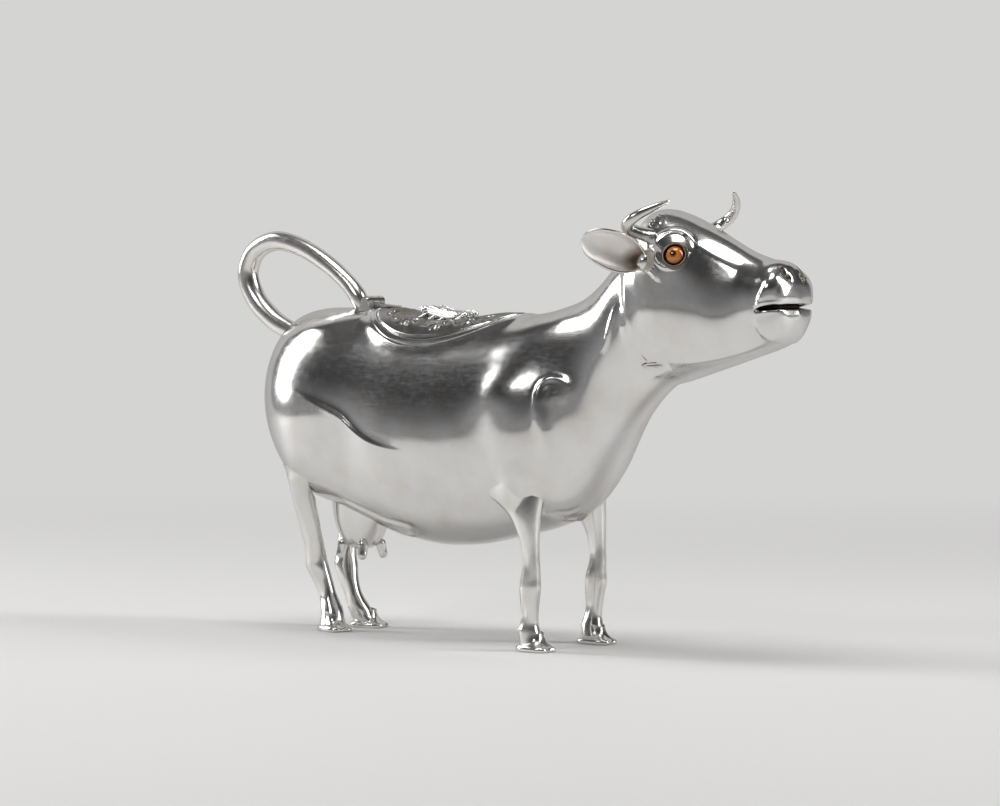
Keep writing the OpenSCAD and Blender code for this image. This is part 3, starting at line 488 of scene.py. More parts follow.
# Stations and angles of the skin's grid, close together at the rump, at the hole's ends and on the face,
# and the angles round the mouth as well
COLS, LINING_STEP = 240, 3
MOUTH_X, MOUTH_Z = 117, 66.7
rump = hole_a * (np.arange(44) / 44) ** 2.0
beside_hole = hole_x - hole_l / 2 * np.cos(np.pi * np.arange(97) / 96)
neck = hole_b + (SEAM_X - hole_b) * np.arange(1, 61) / 60
face = SEAM_X + (END_X - SEAM_X) * np.sin(np.pi / 2 * (np.arange(1, 281) / 280))
XS = np.concatenate([rump, beside_hole, neck, face])
SEAM_ROW = len(rump) + len(beside_hole) + len(neck) - 1
A0 = np.where((XS > hole_a) & (XS < hole_b), angle_of(XS, edge_y(XS)), 0)
T = np.linspace(0, 1, COLS)
A = A0[:, None] + (180 - A0[:, None]) * T[None, :]
for i in np.flatnonzero(XS > MOUTH_X):
    a = np.linspace(20, 160, 600)
    middle = float(np.interp(-MOUTH_Z, -skin(min(XS[i], END_X - 0.6), a)[:, 2], a)) / 180
    crowd = 7 * min(1, (XS[i] - MOUTH_X) / 7.5)
    f = np.linspace(0, 1, 1500)
    run = np.concatenate([[0], np.cumsum(1 + crowd * bell(f[1:], middle, 0.035))])
    A[i] = 180 * np.interp(T * run[-1], run, f)


def on_midline(g):
    """Puts the grid's last column, and its first where the hole doesn't part it, on the midline."""
    g[:, -1, 1] = 0
    g[(A0 == 0), 0, 1] = 0
    return g


BASE = on_midline(skin(XS[:, None] + 0 * A, A))
BASE_N = grid_normals(BASE, mirror_cols=True)
BASE_X, BASE_Y, BASE_Z = np.moveaxis(BASE, -1, 0)


def on_skin(x, z):
    """The place of the skin's right side that shows at (x, z) in side view."""
    d = (BASE_X - x) ** 2 + (BASE_Z - z) ** 2
    i, j = np.unravel_index(d.argmin(), d.shape)
    q, a = float(XS[i]), float(np.clip(A[i, j], 1, 179))
    for _ in range(8):
        p = skin(q, a)
        dx, da = (skin(q + 0.05, a) - p) / 0.05, (skin(q, a + 0.5) - p) / 0.5
        m = np.array([[dx[0], da[0]], [dx[2], da[2]]])
        if abs(np.linalg.det(m)) < 1e-4:
            break
        move = np.linalg.solve(m, [x - p[0], z - p[2]])
        q = float(np.clip(q + np.clip(move[0], -1, 1), 0.2, END_X - 0.02))
        a = float(np.clip(a + np.clip(move[1], -4, 4), 0.5, 179.5))
    return skin(q, a)


def side_path(points, steps=6):
    return curve([on_skin(*p) for p in points], steps)


relief = Relief(BASE)


def fold(points, width, height, ends=0.2):
    relief.stroke(side_path(points), width, height, ends)


def shelf(points, height, edge, reach, ends=0.15):
    relief.step(side_path(points), height, edge, reach, ends)


def swelling(x, z, width, height, long=1.0, lean=0.0):
    """A soft swelling seen at (x, z) from the side."""
    d = BASE - on_skin(x, z)
    u = d[..., 0] * math.cos(lean) + d[..., 2] * math.sin(lean)
    v = d[..., 2] * math.cos(lean) - d[..., 0] * math.sin(lean)
    across = (v / width) ** 2 + (d[..., 1] / (2 * width)) ** 2
    relief.height += height * np.exp(-(u / (width * long)) ** 2 - across)


# Shoulder: a raised blade with a crease that hooks over at its top
swelling(85, 43.5, 6.5, 0.55, 0.8, 0.2)
swelling(82.3, 50.3, 2.3, 0.45, 1.3, 0.3)
shelf([(78.6, 53.5), (77.6, 50.2), (78.1, 44.9), (78.9, 39.1), (77.4, 33.3), (74.8, 27.3)],
      0.5, 0.3, 2.6, 0.2)
fold([(84.6, 51), (82.6, 52.6), (79.6, 52.7), (77.9, 50.6), (78, 46), (78.6, 40.5)], 0.7, 0.34, 0.3)
fold([(83.6, 49.6), (81.8, 50.6), (80.2, 49.9), (79.9, 47.2), (80.4, 43)], 0.9, -0.2, 0.4)
swelling(68.6, 49.8, 4.2, 0.75, 1.15, 0.7)
# Thigh, flank and hip
shelf([(48.6, 38.3), (43.5, 38.7), (38, 40), (33.7, 42.1), (29.6, 44.8), (24.3, 46.9), (19.9, 48.6),
       (15, 50.8)], 0.6, 0.15, 4.5, 0.45)
fold([(19, 48.9), (24.3, 46.9), (29.6, 44.9), (33.7, 42.2), (38, 40), (44.5, 38.6)], 0.85, 0.17, 0.45)
swelling(25, 37.5, 6.5, 0.4, 1.5, -0.4)
fold([(24, 27.3), (28, 26), (31.4, 24.9), (35.7, 23.6), (40.2, 22.9), (42.9, 22.3)], 0.42, 0.42, 0.12)
fold([(25.5, 25.6), (30, 24.2), (35.5, 22.3), (41.8, 21.2)], 0.7, -0.3, 0.2)
fold([(28.5, 23), (32.7, 21.9), (35.7, 21.1), (39.1, 20.6), (41.6, 20.4)], 0.4, 0.34, 0.15)
fold([(12, 60.6), (17, 61.7), (22.5, 62.1), (27.1, 62.8)], 2.6, 0.3, 0.4)
# Brisket: a scalloped fold between the fore legs
fold([(75.6, 26.8), (76.4, 25.4), (78.2, 24.9), (80.5, 25.7), (82.6, 26.9), (85, 29)], 0.6, 0.4, 0.2)
fold([(77, 27), (79.3, 26.9), (82, 28.4)], 0.6, -0.25, 0.3)
# Neck and jaw
shelf([(94.4, 78), (95, 73.4), (95.8, 67.8), (97.2, 62.3), (99.2, 57.8), (101.8, 54.6)], 0.5, 0.24, 3.2)
fold([(95.2, 66.4), (96.2, 62.6), (97.6, 58.6), (98.8, 55.6)], 0.75, 0.35, 0.3)
fold([(91.2, 58), (92.2, 60.6), (93, 63.6), (93.9, 67)], 0.55, 0.25, 0.35)
fold([(98.7, 53.9), (98.8, 55.2), (100.1, 55.9), (103.2, 56.1)], 0.36, 0.42, 0.15)
fold([(100.2, 53.3), (102.2, 54.2), (104.4, 55)], 0.5, 0.5, 0.3)
fold([(104.8, 55.9), (108.5, 56.2), (115.5, 57.2), (122, 58.8), (126.5, 60.4)], 0.9, 0.28, 0.25)
# Muzzle, and the mouth that runs round its front
shelf([(127.2, 73.6), (127.3, 71.6), (126.8, 69.8), (125.9, 68), (125.2, 66.4)], 0.4, 0.22, 2.8, 0.3)
shelf([(124.9, 65.4), (125, 63.2), (126, 61.2), (127.8, 59.8)], 0.35, 0.26, 2.8, 0.3)
mouth = side_path([(125, 65.95), (126.2, 66.25), (127.6, 66.5), (129, 66.65), (130.2, MOUTH_Z)])
round_front = [(END_X - 0.05, -2.4), (END_X, -1.2), (END_X, 0), (END_X, 2)]
mouth = np.concatenate([mouth, [[x, y, MOUTH_Z] for x, y in round_front]])
relief.stroke(mouth + [0, 0, 0.85], 0.4, 0.16, 0.1)
relief.stroke(mouth + [0, 0, -0.85], 0.42, 0.14, 0.1)
relief.slit(mouth, 0.4, 2.4, 0.05, 0.3)
# The nose swells over the nostrils, each a drop-shaped hollow with a raised front rim
relief.height += 0.8 * np.exp(-((BASE_X - 128.2) / 2.6) ** 2 - ((BASE_Z - 75.2) / 2.4) ** 2)
swelling(128.4, 70.6, 2, 0.3, 0.9)
fold([(127.7, 74.3), (128.8, 74.2), (129.7, 73.5), (130.3, 72.3), (130.2, 71), (129.6, 70.5)], 0.5, 0.14, 0.3)
nostril = side_path([(127.7, 73.7), (128.3, 73.2), (129, 72.5), (129.6, 71.9), (129.9, 71.2)])
relief.stroke(nostril, 0.34, -0.5, 0.1)
relief.stroke(nostril[len(nostril) // 2:], 0.62, -0.6, 0.25)
# Brow: a smooth hood over the eye, its socket, and the lower lid
EYE_X, EYE_A = head_at[0] + 0.355 * head_l, 62.0
eye_at, eye_dir = skin(EYE_X, EYE_A), outward(EYE_X, EYE_A)
swelling(eye_at[0], eye_at[2] + 0.3, 3.3, -0.22, 1.1)
fold([(103.2, 77.9), (103.6, 79.6), (104.9, 80.6), (106.2, 80.9), (107.8, 80.7), (109.4, 79.9),
      (110.7, 78.8), (111.8, 77.4)], 0.6, 0.38, 0.25)
fold([(108.6, 80.2), (110.8, 78.9), (113.4, 77), (116.6, 75), (120, 73.4)], 1.3, 0.3, 0.4)
fold([(103.6, 77.6), (104.2, 75.6), (105.6, 74.4), (107.4, 73.9), (109.2, 74.2), (110.6, 75.2)],
      0.4, 0.2, 0.25)
fold([(110, 74.9), (110.6, 75.7), (110.9, 76.8)], 0.4, 0.34, 0.25)
# Hair on the poll between the horns: rows of locks with their station, length, number and span in degrees
GOLDEN = 0.61803
LOCKS = [
    (97.4, 1.3, 13, 50), (98.4, 1.4, 13, 48), (99.5, 1.4, 12, 44), (100.6, 1.4, 10, 38),
    (101.7, 1.4, 8, 30)]
for i, (x0, length, n, span) in enumerate(LOCKS):
    for k in range(n):
        a = (k + 0.5 * (i % 2) + 0.2) * span / n
        stray = ((k * 7 + i * 3) * GOLDEN) % 1 - 0.5
        lock = [skin(x0 + t * length, a + (2 + a * 0.12 + stray * 6) * t * t) for t in (0, 0.35, 0.7, 1.0)]
        relief.stroke(curve(lock, 3), 0.2, 0.085 - 0.01 * i, 0.4)
# The tuft under each ear, and the hair between horn, ear and brow
tuft = [(100.2, 75.4), (101.8, 74.7), (103.2, 74), (104.4, 73.2), (105, 72.3), (104.8, 71.4)]
fold(tuft, 0.95, 0.34, 0.4)
for k in range(4):
    t = k / 3 - 0.4
    fold([(x + 0.2 * t, z + 0.8 * t) for x, z in tuft[:5]], 0.18, -0.1, 0.3)
furred = [(97.4, 81.4), (98.6, 79.8), (99.9, 78), (101.2, 76.2), (102.4, 74.8)]
for k in range(7):
    t = k - 3
    fold([(x + 0.42 * t + 0.3 * math.sin(x * 2.1 + k), z + 0.16 * t) for x, z in furred], 0.17, 0.08, 0.3)
# The skin turns up to the rim, and the sheet is never quite even
relief.stroke(BASE[(XS >= hole_a) & (XS <= hole_b), 0], 1.7, 0.37, 0)
relief.height += (0.012 * np.sin(BASE_X * 0.55 + 1.3 * np.sin(BASE_Z * 0.31))
                  * np.sin(BASE_Z * 0.47 + 0.8 * np.sin(BASE_X * 0.23)) * np.sin(BASE_Y * 0.35 + 0.7))
# Both lips roll in towards the mouth at the front, and all relief fades at the very tip of the nose
lips = rise(BASE_X, 124.5, 129.0)
CUT = relief.cut + 0.36 * lips * lips * bell(BASE_Z, MOUTH_Z, 1.25)
HEIGHT = relief.height * ease(np.clip((END_X - BASE_X) / 2.2, 0, 1))
OUTER = on_midline(BASE + BASE_N * HEIGHT[..., None])
OUTER[0] = OUTER[0].mean(0)
OUTER[(0, -1), :, 1] = 0
# Cuts go in square to the muzzle's outline, seen from above
OUTER += unit(np.stack([-np.maximum(BASE_X - (END_X - 5.5), 0), -BASE_Y, 0 * BASE_Z], -1)) * CUT[..., None]
NORM = grid_normals(OUTER, mirror_cols=True)
NORM[0] = [-1, 0, 0]
deeper = np.clip((BASE_X[..., None] - 119) / 4, 0, 1)
INNER = BASE - BASE_N * (wall + 2.6 * deeper * deeper)
INNER[..., 1] = np.minimum(INNER[..., 1], -0.02)
INNER[..., 0] = np.minimum(INNER[..., 0], END_X - 3.4)


def patch(path, reach, waver=0.0):
    """The part of the skin within reach of a path, with a wavering edge."""
    pick, far, *_ = near(BASE, path, 1.3)
    x, _, z = BASE.reshape(-1, 3)[pick].T
    mask = np.zeros(HEIGHT.size, bool)
    mask[pick[far < reach + waver * np.sin(x * 5.1) * np.sin(z * 4.3)]] = True
    return mask.reshape(HEIGHT.shape)


# The lining, and what covers the skin besides polished silver: satin on the hair, painted shade in the mouth
# slit, and painted shade in the nostril hollows
COVERS = [
    ("inner_silver", None),
    ("satin_silver", patch(side_path(furred), 1.5, 0.35)),
    ("mouth_shade", CUT > 1.1),
    ("dark_silver_and_nostril_shade", patch(nostril, 0.55))]


def sheet(g, n, turned):
    f = grid_faces(*g.shape[:2])
    return g.reshape(-1, 3), reversed_faces(f) if turned else f, n.reshape(-1, 3)


def half(side, first, last, name, node):
    """One half shell: its outer skin with the joined surface's normals, and a coarser lining."""
    s = np.array([1, side, 1.0])
    rows = list(range(first, last + 1))
    lined = np.ix_(sorted({*rows[::LINING_STEP], last}), sorted({*range(0, COLS, LINING_STEP), COLS - 1}))
    skin_sheet = sheet(OUTER[rows] * s, NORM[rows] * s, side < 0)
    lining = sheet(INNER[lined] * s, -BASE_N[lined] * s, side > 0)
    ob = piece(name, join(skin_sheet, lining), "polished_silver", node)
    skin_index = np.zeros(len(skin_sheet[1]), int)
    for k, (cover, mask) in enumerate(COVERS, 1):
        ob.data.materials.append(MATS[cover])
        if mask is not None:
            skin_index[mask[rows][:-1, :-1].reshape(-1)] = k
    index = np.concatenate([skin_index, np.ones(len(lining[1]), int)])
    ob.data.polygons.foreach_set("material_index", index)


for name, first, last in (("body", 0, SEAM_ROW), ("head", SEAM_ROW, len(XS) - 1)):
    half(1, first, last, name + "_right", name + "_right_half")
    half(-1, first, last, name + "_left", name + "_left_half")


# Legs: height in shares of the belly's, place along and out from the middle in shares of the trunk's length
# and half width, and half length and half width of the section in shares of the leg's thickness
FORE = [
    [1.755, 0.783, 0.51, 1.17, 0.72], [1.57, 0.786, 0.577, 0.94, 0.64], [1.41, 0.79, 0.613, 0.75, 0.58],
    [1.22, 0.794, 0.632, 0.6, 0.5], [1.04, 0.798, 0.635, 0.5, 0.42], [0.88, 0.8, 0.632, 0.48, 0.42],
    [0.745, 0.797, 0.626, 0.57, 0.48], [0.64, 0.796, 0.626, 0.61, 0.5], [0.53, 0.794, 0.62, 0.56, 0.47],
    [0.4, 0.793, 0.613, 0.48, 0.42], [0.29, 0.791, 0.607, 0.5, 0.45], [0.213, 0.79, 0.6, 0.61, 0.53],
    [0.138, 0.793, 0.59, 0.64, 0.58], [0.07, 0.799, 0.583, 0.78, 0.62]]
HIND = [
    [1.81, 0.134, 0.49, 1.5, 0.9], [1.65, 0.132, 0.51, 1.12, 0.76], [1.46, 0.128, 0.478, 0.78, 0.64],
    [1.2, 0.131, 0.386, 0.66, 0.53], [1.04, 0.133, 0.34, 0.62, 0.5], [0.88, 0.136, 0.3, 0.61, 0.49],
    [0.76, 0.137, 0.276, 0.66, 0.52], [0.67, 0.139, 0.264, 0.72, 0.55], [0.53, 0.15, 0.24, 0.61, 0.5],
    [0.38, 0.163, 0.233, 0.55, 0.47], [0.235, 0.178, 0.252, 0.66, 0.58],
    [0.138, 0.185, 0.282, 0.69, 0.61], [0.07, 0.192, 0.319, 0.8, 0.64]]


def seat_side(g, soft, start, end):
    """Flows a leg's top into the side of the trunk. What would stand inside lies in the sheet's thickness."""
    q = g.reshape(-1, 3)
    for k in np.flatnonzero(q[:, 2] > 19.5):
        x, y, z = q[k]
        if not 0.05 < x < SEAM_X:
            continue
        p = skin(np.full(61, x), np.linspace(60, 180, 61))
        if z <= p[-1, 2]:
            continue
        level = -np.interp(z, p[::-1, 2], p[::-1, 1]) - 0.1 - 0.3 * min(1, max(0, (z - start) / 3))
        blend = max(soft - abs(-y - level), 0) / soft
        out = max(-y, level, 0.3) + blend * blend * soft / 4
        w = ease(min(1, max(0, (z - start) / (end - start))))
        q[k, 1] = -out * (1 - w) - max(level, 0.3) * w
    return q.reshape(g.shape)


def splayed(turn):
    """Turns the toes of a right-hand leg out by an angle."""
    c, s = math.cos(math.radians(-turn)), math.sin(math.radians(-turn))
    return np.array([[c, -s, 0], [s, c, 0], [0, 0, 1]])


# Hoof: its outline's share of the sole's at each height
HOOF = [
    (0.9, 0), (0.98, 0.12), (1, 0.42), (0.99, 0.74), (0.94, 1.02), (0.86, 1.24), (0.76, 1.5),
    (0.66, 1.85), (0.57, 2.3), (0.51, 2.8), (0.47, 3.4), (0.45, 4)]
TOE_L, HEEL_L, HOOF_HALF_W = 4.45, 3.75, 2.95


def hoof(at, turn, m=72):
    """A splayed hoof: two toes parted by a cleft, rising in a hollow slope to the pastern."""
    phi = np.linspace(0, 2 * np.pi, m, endpoint=False)
    c, s = np.cos(phi), np.sin(phi)
    front = bell(np.minimum(phi, 2 * np.pi - phi), 0, 0.24)
    cleft = 0.11 * front + 0.04 * bell(phi, np.pi, 0.3) + 0.03 * bell(np.abs(s), 1, 0.16)
    plan_x = np.where(c > 0, TOE_L, HEEL_L) * np.sign(c) * np.abs(c) ** 0.8
    plan_y = HOOF_HALF_W * np.sign(s) * np.abs(s) ** 0.78 * (1 + 0.08 * np.maximum(c, 0))
    g = []
    for k, h in HOOF:
        notch = 1 - cleft * (1 if h < 1.3 else max(0, 1 - (h - 1.3) / 1.0))
        dip = 0.16 * front * math.sin(math.pi * min(1, h / 3.4))
        toe = 1 - 0.12 * np.maximum(c, 0) * (h > 0.5)
        ring = [plan_x * k * notch - 0.2 * (1 - k), plan_y * k ** 0.9 * notch, h * toe - dip * (h > 0.5)]
        g.append(np.stack(ring, -1))
    g = curve(np.array(g).reshape(len(g), -1), 3).reshape(-1, m, 3)
    g[..., 2] = np.maximum(g[..., 2], 0)
    v, f, n = surface(g @ splayed(turn).T + np.array([at[0] + 0.15, at[1], 0]))
    f.append(tuple(range(len(v), len(v) + m)))
    return np.concatenate([v, v[:m]]), f, np.concatenate([n, np.tile([0, 0, -1.0], (m, 1))])


def leg(table, name, turn, spread, soft, start, sides=56):
    """A leg with its hoof and dewclaws. Its top spreads back, or draws in where the spread is negative."""
    rows = np.array(table) * [belly_h, trunk_l, -trunk_w / 2, leg_d, leg_d]
    path = curve(rows[:, (1, 2, 0, 3, 4)], 7)
    a = np.linspace(0, 2 * np.pi, sides, endpoint=False)
    c, s = np.cos(a), np.sin(a)
    cq, sq = np.sign(c) * np.abs(c) ** 0.9, np.sign(s) * np.abs(s) ** 0.9
    # The shin is fluted outside, with a sinew standing behind the bone, and the knee is knotty
    z = path[:, 2:3]
    shin = bell(z, 7.6, 3.0) + 0.9 * bell(z, 18.5, 4.0)
    flute = bell(a, 1.5 * np.pi - 0.25, 0.5) + bell(a, 0.5 * np.pi + 0.25, 0.5)
    k = 1 - 0.2 * shin * flute[None, :] + 0.03 * bell(z, 12.9, 2.0) * np.cos(2 * a + 0.6)[None, :]
    web = spread * rise(z, 21.0, 29.5) ** 1.6 * np.clip(-c, 0, 1)[None, :]
    x, y = path[:, 0:1] + path[:, 3:4] * cq * k - web, path[:, 1:2] + path[:, 4:5] * sq * k
    v, f, n = surface(seat_side(np.stack([x, y, z + 0 * a], -1), soft, start, path[0, 2] - 0.3))
    top = tuple(range(sides))
    f.append(top if np.cross(v[0] - v[:sides].mean(0), v[8] - v[:sides].mean(0))[2] > 0 else top[::-1])
    dew = rows[-3, (1, 2, 0)]
    claws = [blob(dew + splayed(turn) @ [-leg_d * 0.44, q * leg_d * 0.27, -0.15],
                  [[0.5, 0, 0.1], [0, 0.42, 0], [-0.1, 0, 0.6]], 10) for q in (-1, 1)]
    part = join((v, f, n), hoof(path[-1], turn), *claws)
    both(name + "_cast", part, part, "leg_silver", name)


leg(FORE, "fore_leg", 3, 4.4, 3.2, 31.3)
leg(HIND, "hind_leg", 16, -1.3, 2.5, 31.0)

# Udder and teats
ux, udder_top, udder_low = 0.228 * trunk_l, belly_h * 1.45, belly_h * 0.89
UDDER_HALF_L, UDDER_HALF_W, TEAT_L = 6.5, 5.5, 4.1
# Teat: radius at shares of its length
TEAT = [
    (0, 0.2), (0.05, 0.7), (0.13, 0.98), (0.26, 1.08), (0.42, 1), (0.6, 0.93), (0.78, 0.9), (0.89, 0.78),
    (0.96, 0.52), (1, 0.06)]


def udder():
    """A bag with a cleft between its quarters, cut to the belly."""
    t = np.radians(np.linspace(0, 90, 40))[:, None]
    a = np.linspace(0, 2 * np.pi, 72, endpoint=False)[None, :]
    r, fall = np.cos(t) ** 0.8, np.sin(t)
    c, s = np.cos(a), np.sin(a)
    cleft = 1 - 0.1 * bell(s, 0, 0.25) * fall - 0.07 * bell(c, 0, 0.25) * fall
    quarters = 0.5 * bell(np.abs(c), 0.7, 0.35) * fall ** 3 * (1 - fall ** 12)
    x, y = ux + UDDER_HALF_L * r * c * cleft, UDDER_HALF_W * r * s * cleft
    z = udder_top - (udder_top - udder_low) * fall - quarters + 0 * a
    return surface(np.stack([x, y, np.minimum(z, belly_z(x, y) + 0.4)], -1))


def teat(i, j):
    """One of four, i and j being -1 or 1 for its row and side."""
    root = np.array([ux + i * 2.6, j * 2.5, udder_low + 2.0])
    down = unit([0.14 * i, 0.2 * j, -1.0])
    line = [[*(root + down * (TEAT_L * q)), w] for q, w in TEAT]
    return tube(curve(line, 5), 22, ref=(1, 0, 0))


piece("udder_bag", udder(), "cast_silver", "udder")
teats = [teat(i, j) for i in (-1, 1) for j in (-1, 1)]
piece("teat_set", join(*teats), "cast_silver", "teats")

# Tail: behind the rump in shares of the loop's reach, forward in shares of the run to its tip, height in
# shares of the loop's, and thickness
TAIL = [
    [0, 0.25, -0.4, 0.7], [0, 0.07, -0.32, 0.9], [0.3, 0, -0.17, 1], [0.72, 0, 0.08, 1.03],
    [0.965, 0, 0.36, 1.05], [1, 0, 0.61, 1.05], [0.76, 0, 0.875, 1], [0.23, 0, 1, 0.96],
    [0, 0.22, 0.895, 0.9], [0, 0.56, 0.65, 0.86], [0, 0.82, 0.38, 0.84], [0, 0.955, 0.17, 0.86],
    [0, 1, 0.02, 0.66]]


def tail():
    """A loop that bends over to the back, its tip by the hole, with an uneven surface."""
    run = hole_a - 4.4 - tail_d * 0.24
    line = [[f * run - b * loop_back, 0, back_h + h * loop_h, w * tail_d / 2 * 0.98] for b, f, h, w in TAIL]
    return tube(curve(line, 12), 48, ref=(0, 1, 0),
                shape=lambda t, a: 1 + 0.01 * np.sin(a * 3 + t * 21) * np.sin(t * 34))


piece("tail_cast", tail(), "tail_silver", "tail")


def on_head(x, y, z):
    """A place on the head in shares of its length and height, and out from the middle."""
    return np.array([head_at[0] + x * head_l, y, head_at[1] + z * head_h])


# Horns: along, out and up, and thickness, then the share of the height that each rises by
HORN = [
    [0.205, 0.48, 0.85, 1], [0.194, 0.72, 0.876, 0.96], [0.204, 0.915, 0.906, 0.9],
    [0.246, 1, 0.946, 0.82], [0.296, 0.96, 0.992, 0.7], [0.342, 0.83, 1.037, 0.54],
    [0.378, 0.655, 1.078, 0.24]]
RIGHT_LIFT, LEFT_LIFT = 0.82, 1.1


def horn(lift):
    root_z = HORN[0][2]
    p = curve([[*on_head(x, -y * horn_reach, root_z + (z - root_z) * lift), r * horn_d / 2]
               for x, y, z, r in HORN], 9)
    on = unit(p[-1, :3] - p[-2, :3])
    tip = [[*(p[-1, :3] + on * k), p[-1, 3] * q] for k, q in [(0.08, 0.8), (0.14, 0.5), (0.17, 0.2)]]
    return tube(np.concatenate([p, tip]), 28,
                shape=lambda t, a: 1 + 0.02 * bell(t, 0.16, 0.12) * np.sin(t * 130) + 0.12 * bell(t, 0, 0.08))


both("horn_cast", horn(RIGHT_LIFT), horn(LEFT_LIFT), "cast_silver", "horn")

ear_root = on_head(0.205, -head_w * 0.47, 0.705)
ear_dir = unit([-0.57, -0.75, 0.33])
ear_face = unit(np.cross(np.cross(ear_dir, [0.76, -0.62, -0.06]), ear_dir))
ear_up = np.cross(ear_face, ear_dir)
# Ear: place along it, half width in shares of its own, and depth in shares of that. Stem: place and radius
EAR = [
    [0.03, 0.46, 0.95], [0.1, 0.66, 0.9], [0.2, 0.86, 0.8], [0.33, 0.98, 0.7], [0.47, 1, 0.6],
    [0.61, 0.95, 0.52], [0.74, 0.86, 0.46], [0.85, 0.71, 0.44], [0.93, 0.5, 0.46], [0.975, 0.3, 0.5],
    [0.992, 0.08, 0.6]]
EAR_STEM = [
    [-0.24, 0.2], [-0.18, 0.24], [-0.1, 0.25], [-0.03, 0.245], [0.03, 0.23], [0.08, 0.16], [0.1, 0.05]]


def on_ear(along, up=0.0, deep=0.0):
    return ear_root + ear_dir * along + ear_up * up - ear_face * deep


def ear(n=40, rolls=5):
    """A hollow leaf with a rolled edge, and the faces of its inside."""
    rows = curve(EAR, 8)
    outer, inner = [], []
    for along, width, depth in rows:
        w = width * ear_w / 2
        thin = min(0.55, w * depth / 3)
        angles = [math.pi * (k / n - 0.5) for k in range(n + 1)]
        outer.append([on_ear(along * ear_l, w * math.sin(a), w * depth * math.cos(a)) for a in angles])
        inner.append([on_ear(along * ear_l, (w - thin) * math.sin(a), (w * depth - thin) * math.cos(a)
                             - 0.12 * bell(along, 0.45, 0.3) * bell(a, -0.35, 0.3)) for a in angles])
    outer, inner = np.array(outer), np.array(inner)

    def roll(side):
        steps = np.linspace(0, 1, rolls + 2)[1:-1]
        bulge = [ear_face * (math.sin(math.pi * q) * 0.14) for q in steps]
        return np.stack([outer[:, side] * (1 - q) + inner[:, side] * q + b for q, b in zip(steps, bulge)], 1)

    g = np.concatenate([outer, roll(-1), inner[:, ::-1], roll(0)[:, ::-1]], 1)
    cols, last = g.shape[1], (len(rows) - 1) * g.shape[1]
    v, f, nn = surface(g)
    v, nn = np.concatenate([v, [g[-1].mean(0)]]), np.concatenate([nn, [ear_dir]])
    cap = [(len(v) - 1, last + (k + 1) % cols, last + k) for k in range(cols)]
    inside = [k for k, q in enumerate(f) if all(n + rolls < i % cols < 2 * n + rolls + 2 for i in q)]
    f += cap if face_normal(v, cap[0]) @ ear_dir >= 0 else reversed_faces(cap)
    stem = tube(curve([[*on_ear(s * ear_l, 0, ear_w * 0.115), w * ear_w] for s, w in EAR_STEM], 5), 24)
    return join((v, f, nn), stem), inside


def ear_material():
    """Satin inside of an ear: brushed along, a pinkish streak down the middle, and painted shade that darkens
    it towards the root.
    """
    nt, shader = new_material("ear_satin_and_root_shade")
    cloud = noise(nt, 420, 3.0, 0.6)
    brushed = noise(nt, 1.0, 3.0, 0.6, (900, 900, 3600), (0.3, 0.2, 0.9))

    def away_from(p, waver):
        """Distance in centimetres from a place on either ear, made cloudy."""
        d = vector(nt, "DISTANCE", vector(nt, "ABSOLUTE", here(nt)), np.abs(metres(p)).tolist(), "Value")
        return calc(nt, "ADD", calc(nt, "MULTIPLY", d, 100.0), calc(nt, "MULTIPLY", cloud, waver))

    # Painted shade: the hollow of each ear darkens towards its root
    root = ramp(nt, away_from(on_ear(1.0, 0.2, 1.2), 0.12), [
        (0.16, (0.12, 0.09, 0.065)), (0.28, (0.50, 0.42, 0.35)), (0.40, (0.94, 0.91, 0.87)),
        (1.0, (0.97, 0.95, 0.92))])
    pink = ramp(nt, away_from(on_ear(7.0, 0.9, 1.9), 0.2), [(0.1, (0.90, 0.84, 0.80)), (0.4, 1.0)])
    feed(nt, shader, {
        "Metallic": 0.7, "Base Color": vector(nt, "MULTIPLY", root, pink),
        "Roughness": ramp(nt, cloud, [(0.3, 0.42), (0.7, 0.55)]), "Normal": bump(nt, brushed, 6e-6)})


ear_material()
leaf, inside = ear()
for ob in both("ear_leaf", leaf, leaf, "cast_silver", "ear"):
    ob.data.materials.append(MATS["ear_satin_and_root_shade"])
    for k in inside:
        ob.data.polygons[k].material_index = 1


# Rim, lid and fly
def hole_edge(t):
    """The edge of the filling hole in plan, t radians round it from the rear."""
    return np.stack([hole_x - hole_l / 2 * np.cos(t), -hole_w / 2 * np.sin(t) * (1 + egg * np.cos(t))], -1)


def plan(t, q):
    """A place q inwards of the hole's edge in plan."""
    d = unit(hole_edge(t + 0.01) - hole_edge(t - 0.01))
    return hole_edge(t) + np.stack([-d[..., 1], d[..., 0]], -1) * np.asarray(q, float)[..., None]


def band(section, name, mat, node, body="creamer_body", n=220):
    """A closed band round the hole, with a section of places inwards and heights."""
    s = curve(np.array(section + section[:1]), 3)[:-1]
    t = np.linspace(0, 2 * np.pi, n, endpoint=False)[:, None] + 0 * s[:, 0]
    p = plan(t, s[:, 0] + 0 * t)
    piece(name, surface(back(p[..., 0], p[..., 1], s[:, 1] + 0 * t), close_rows=True), mat, node, body=body)


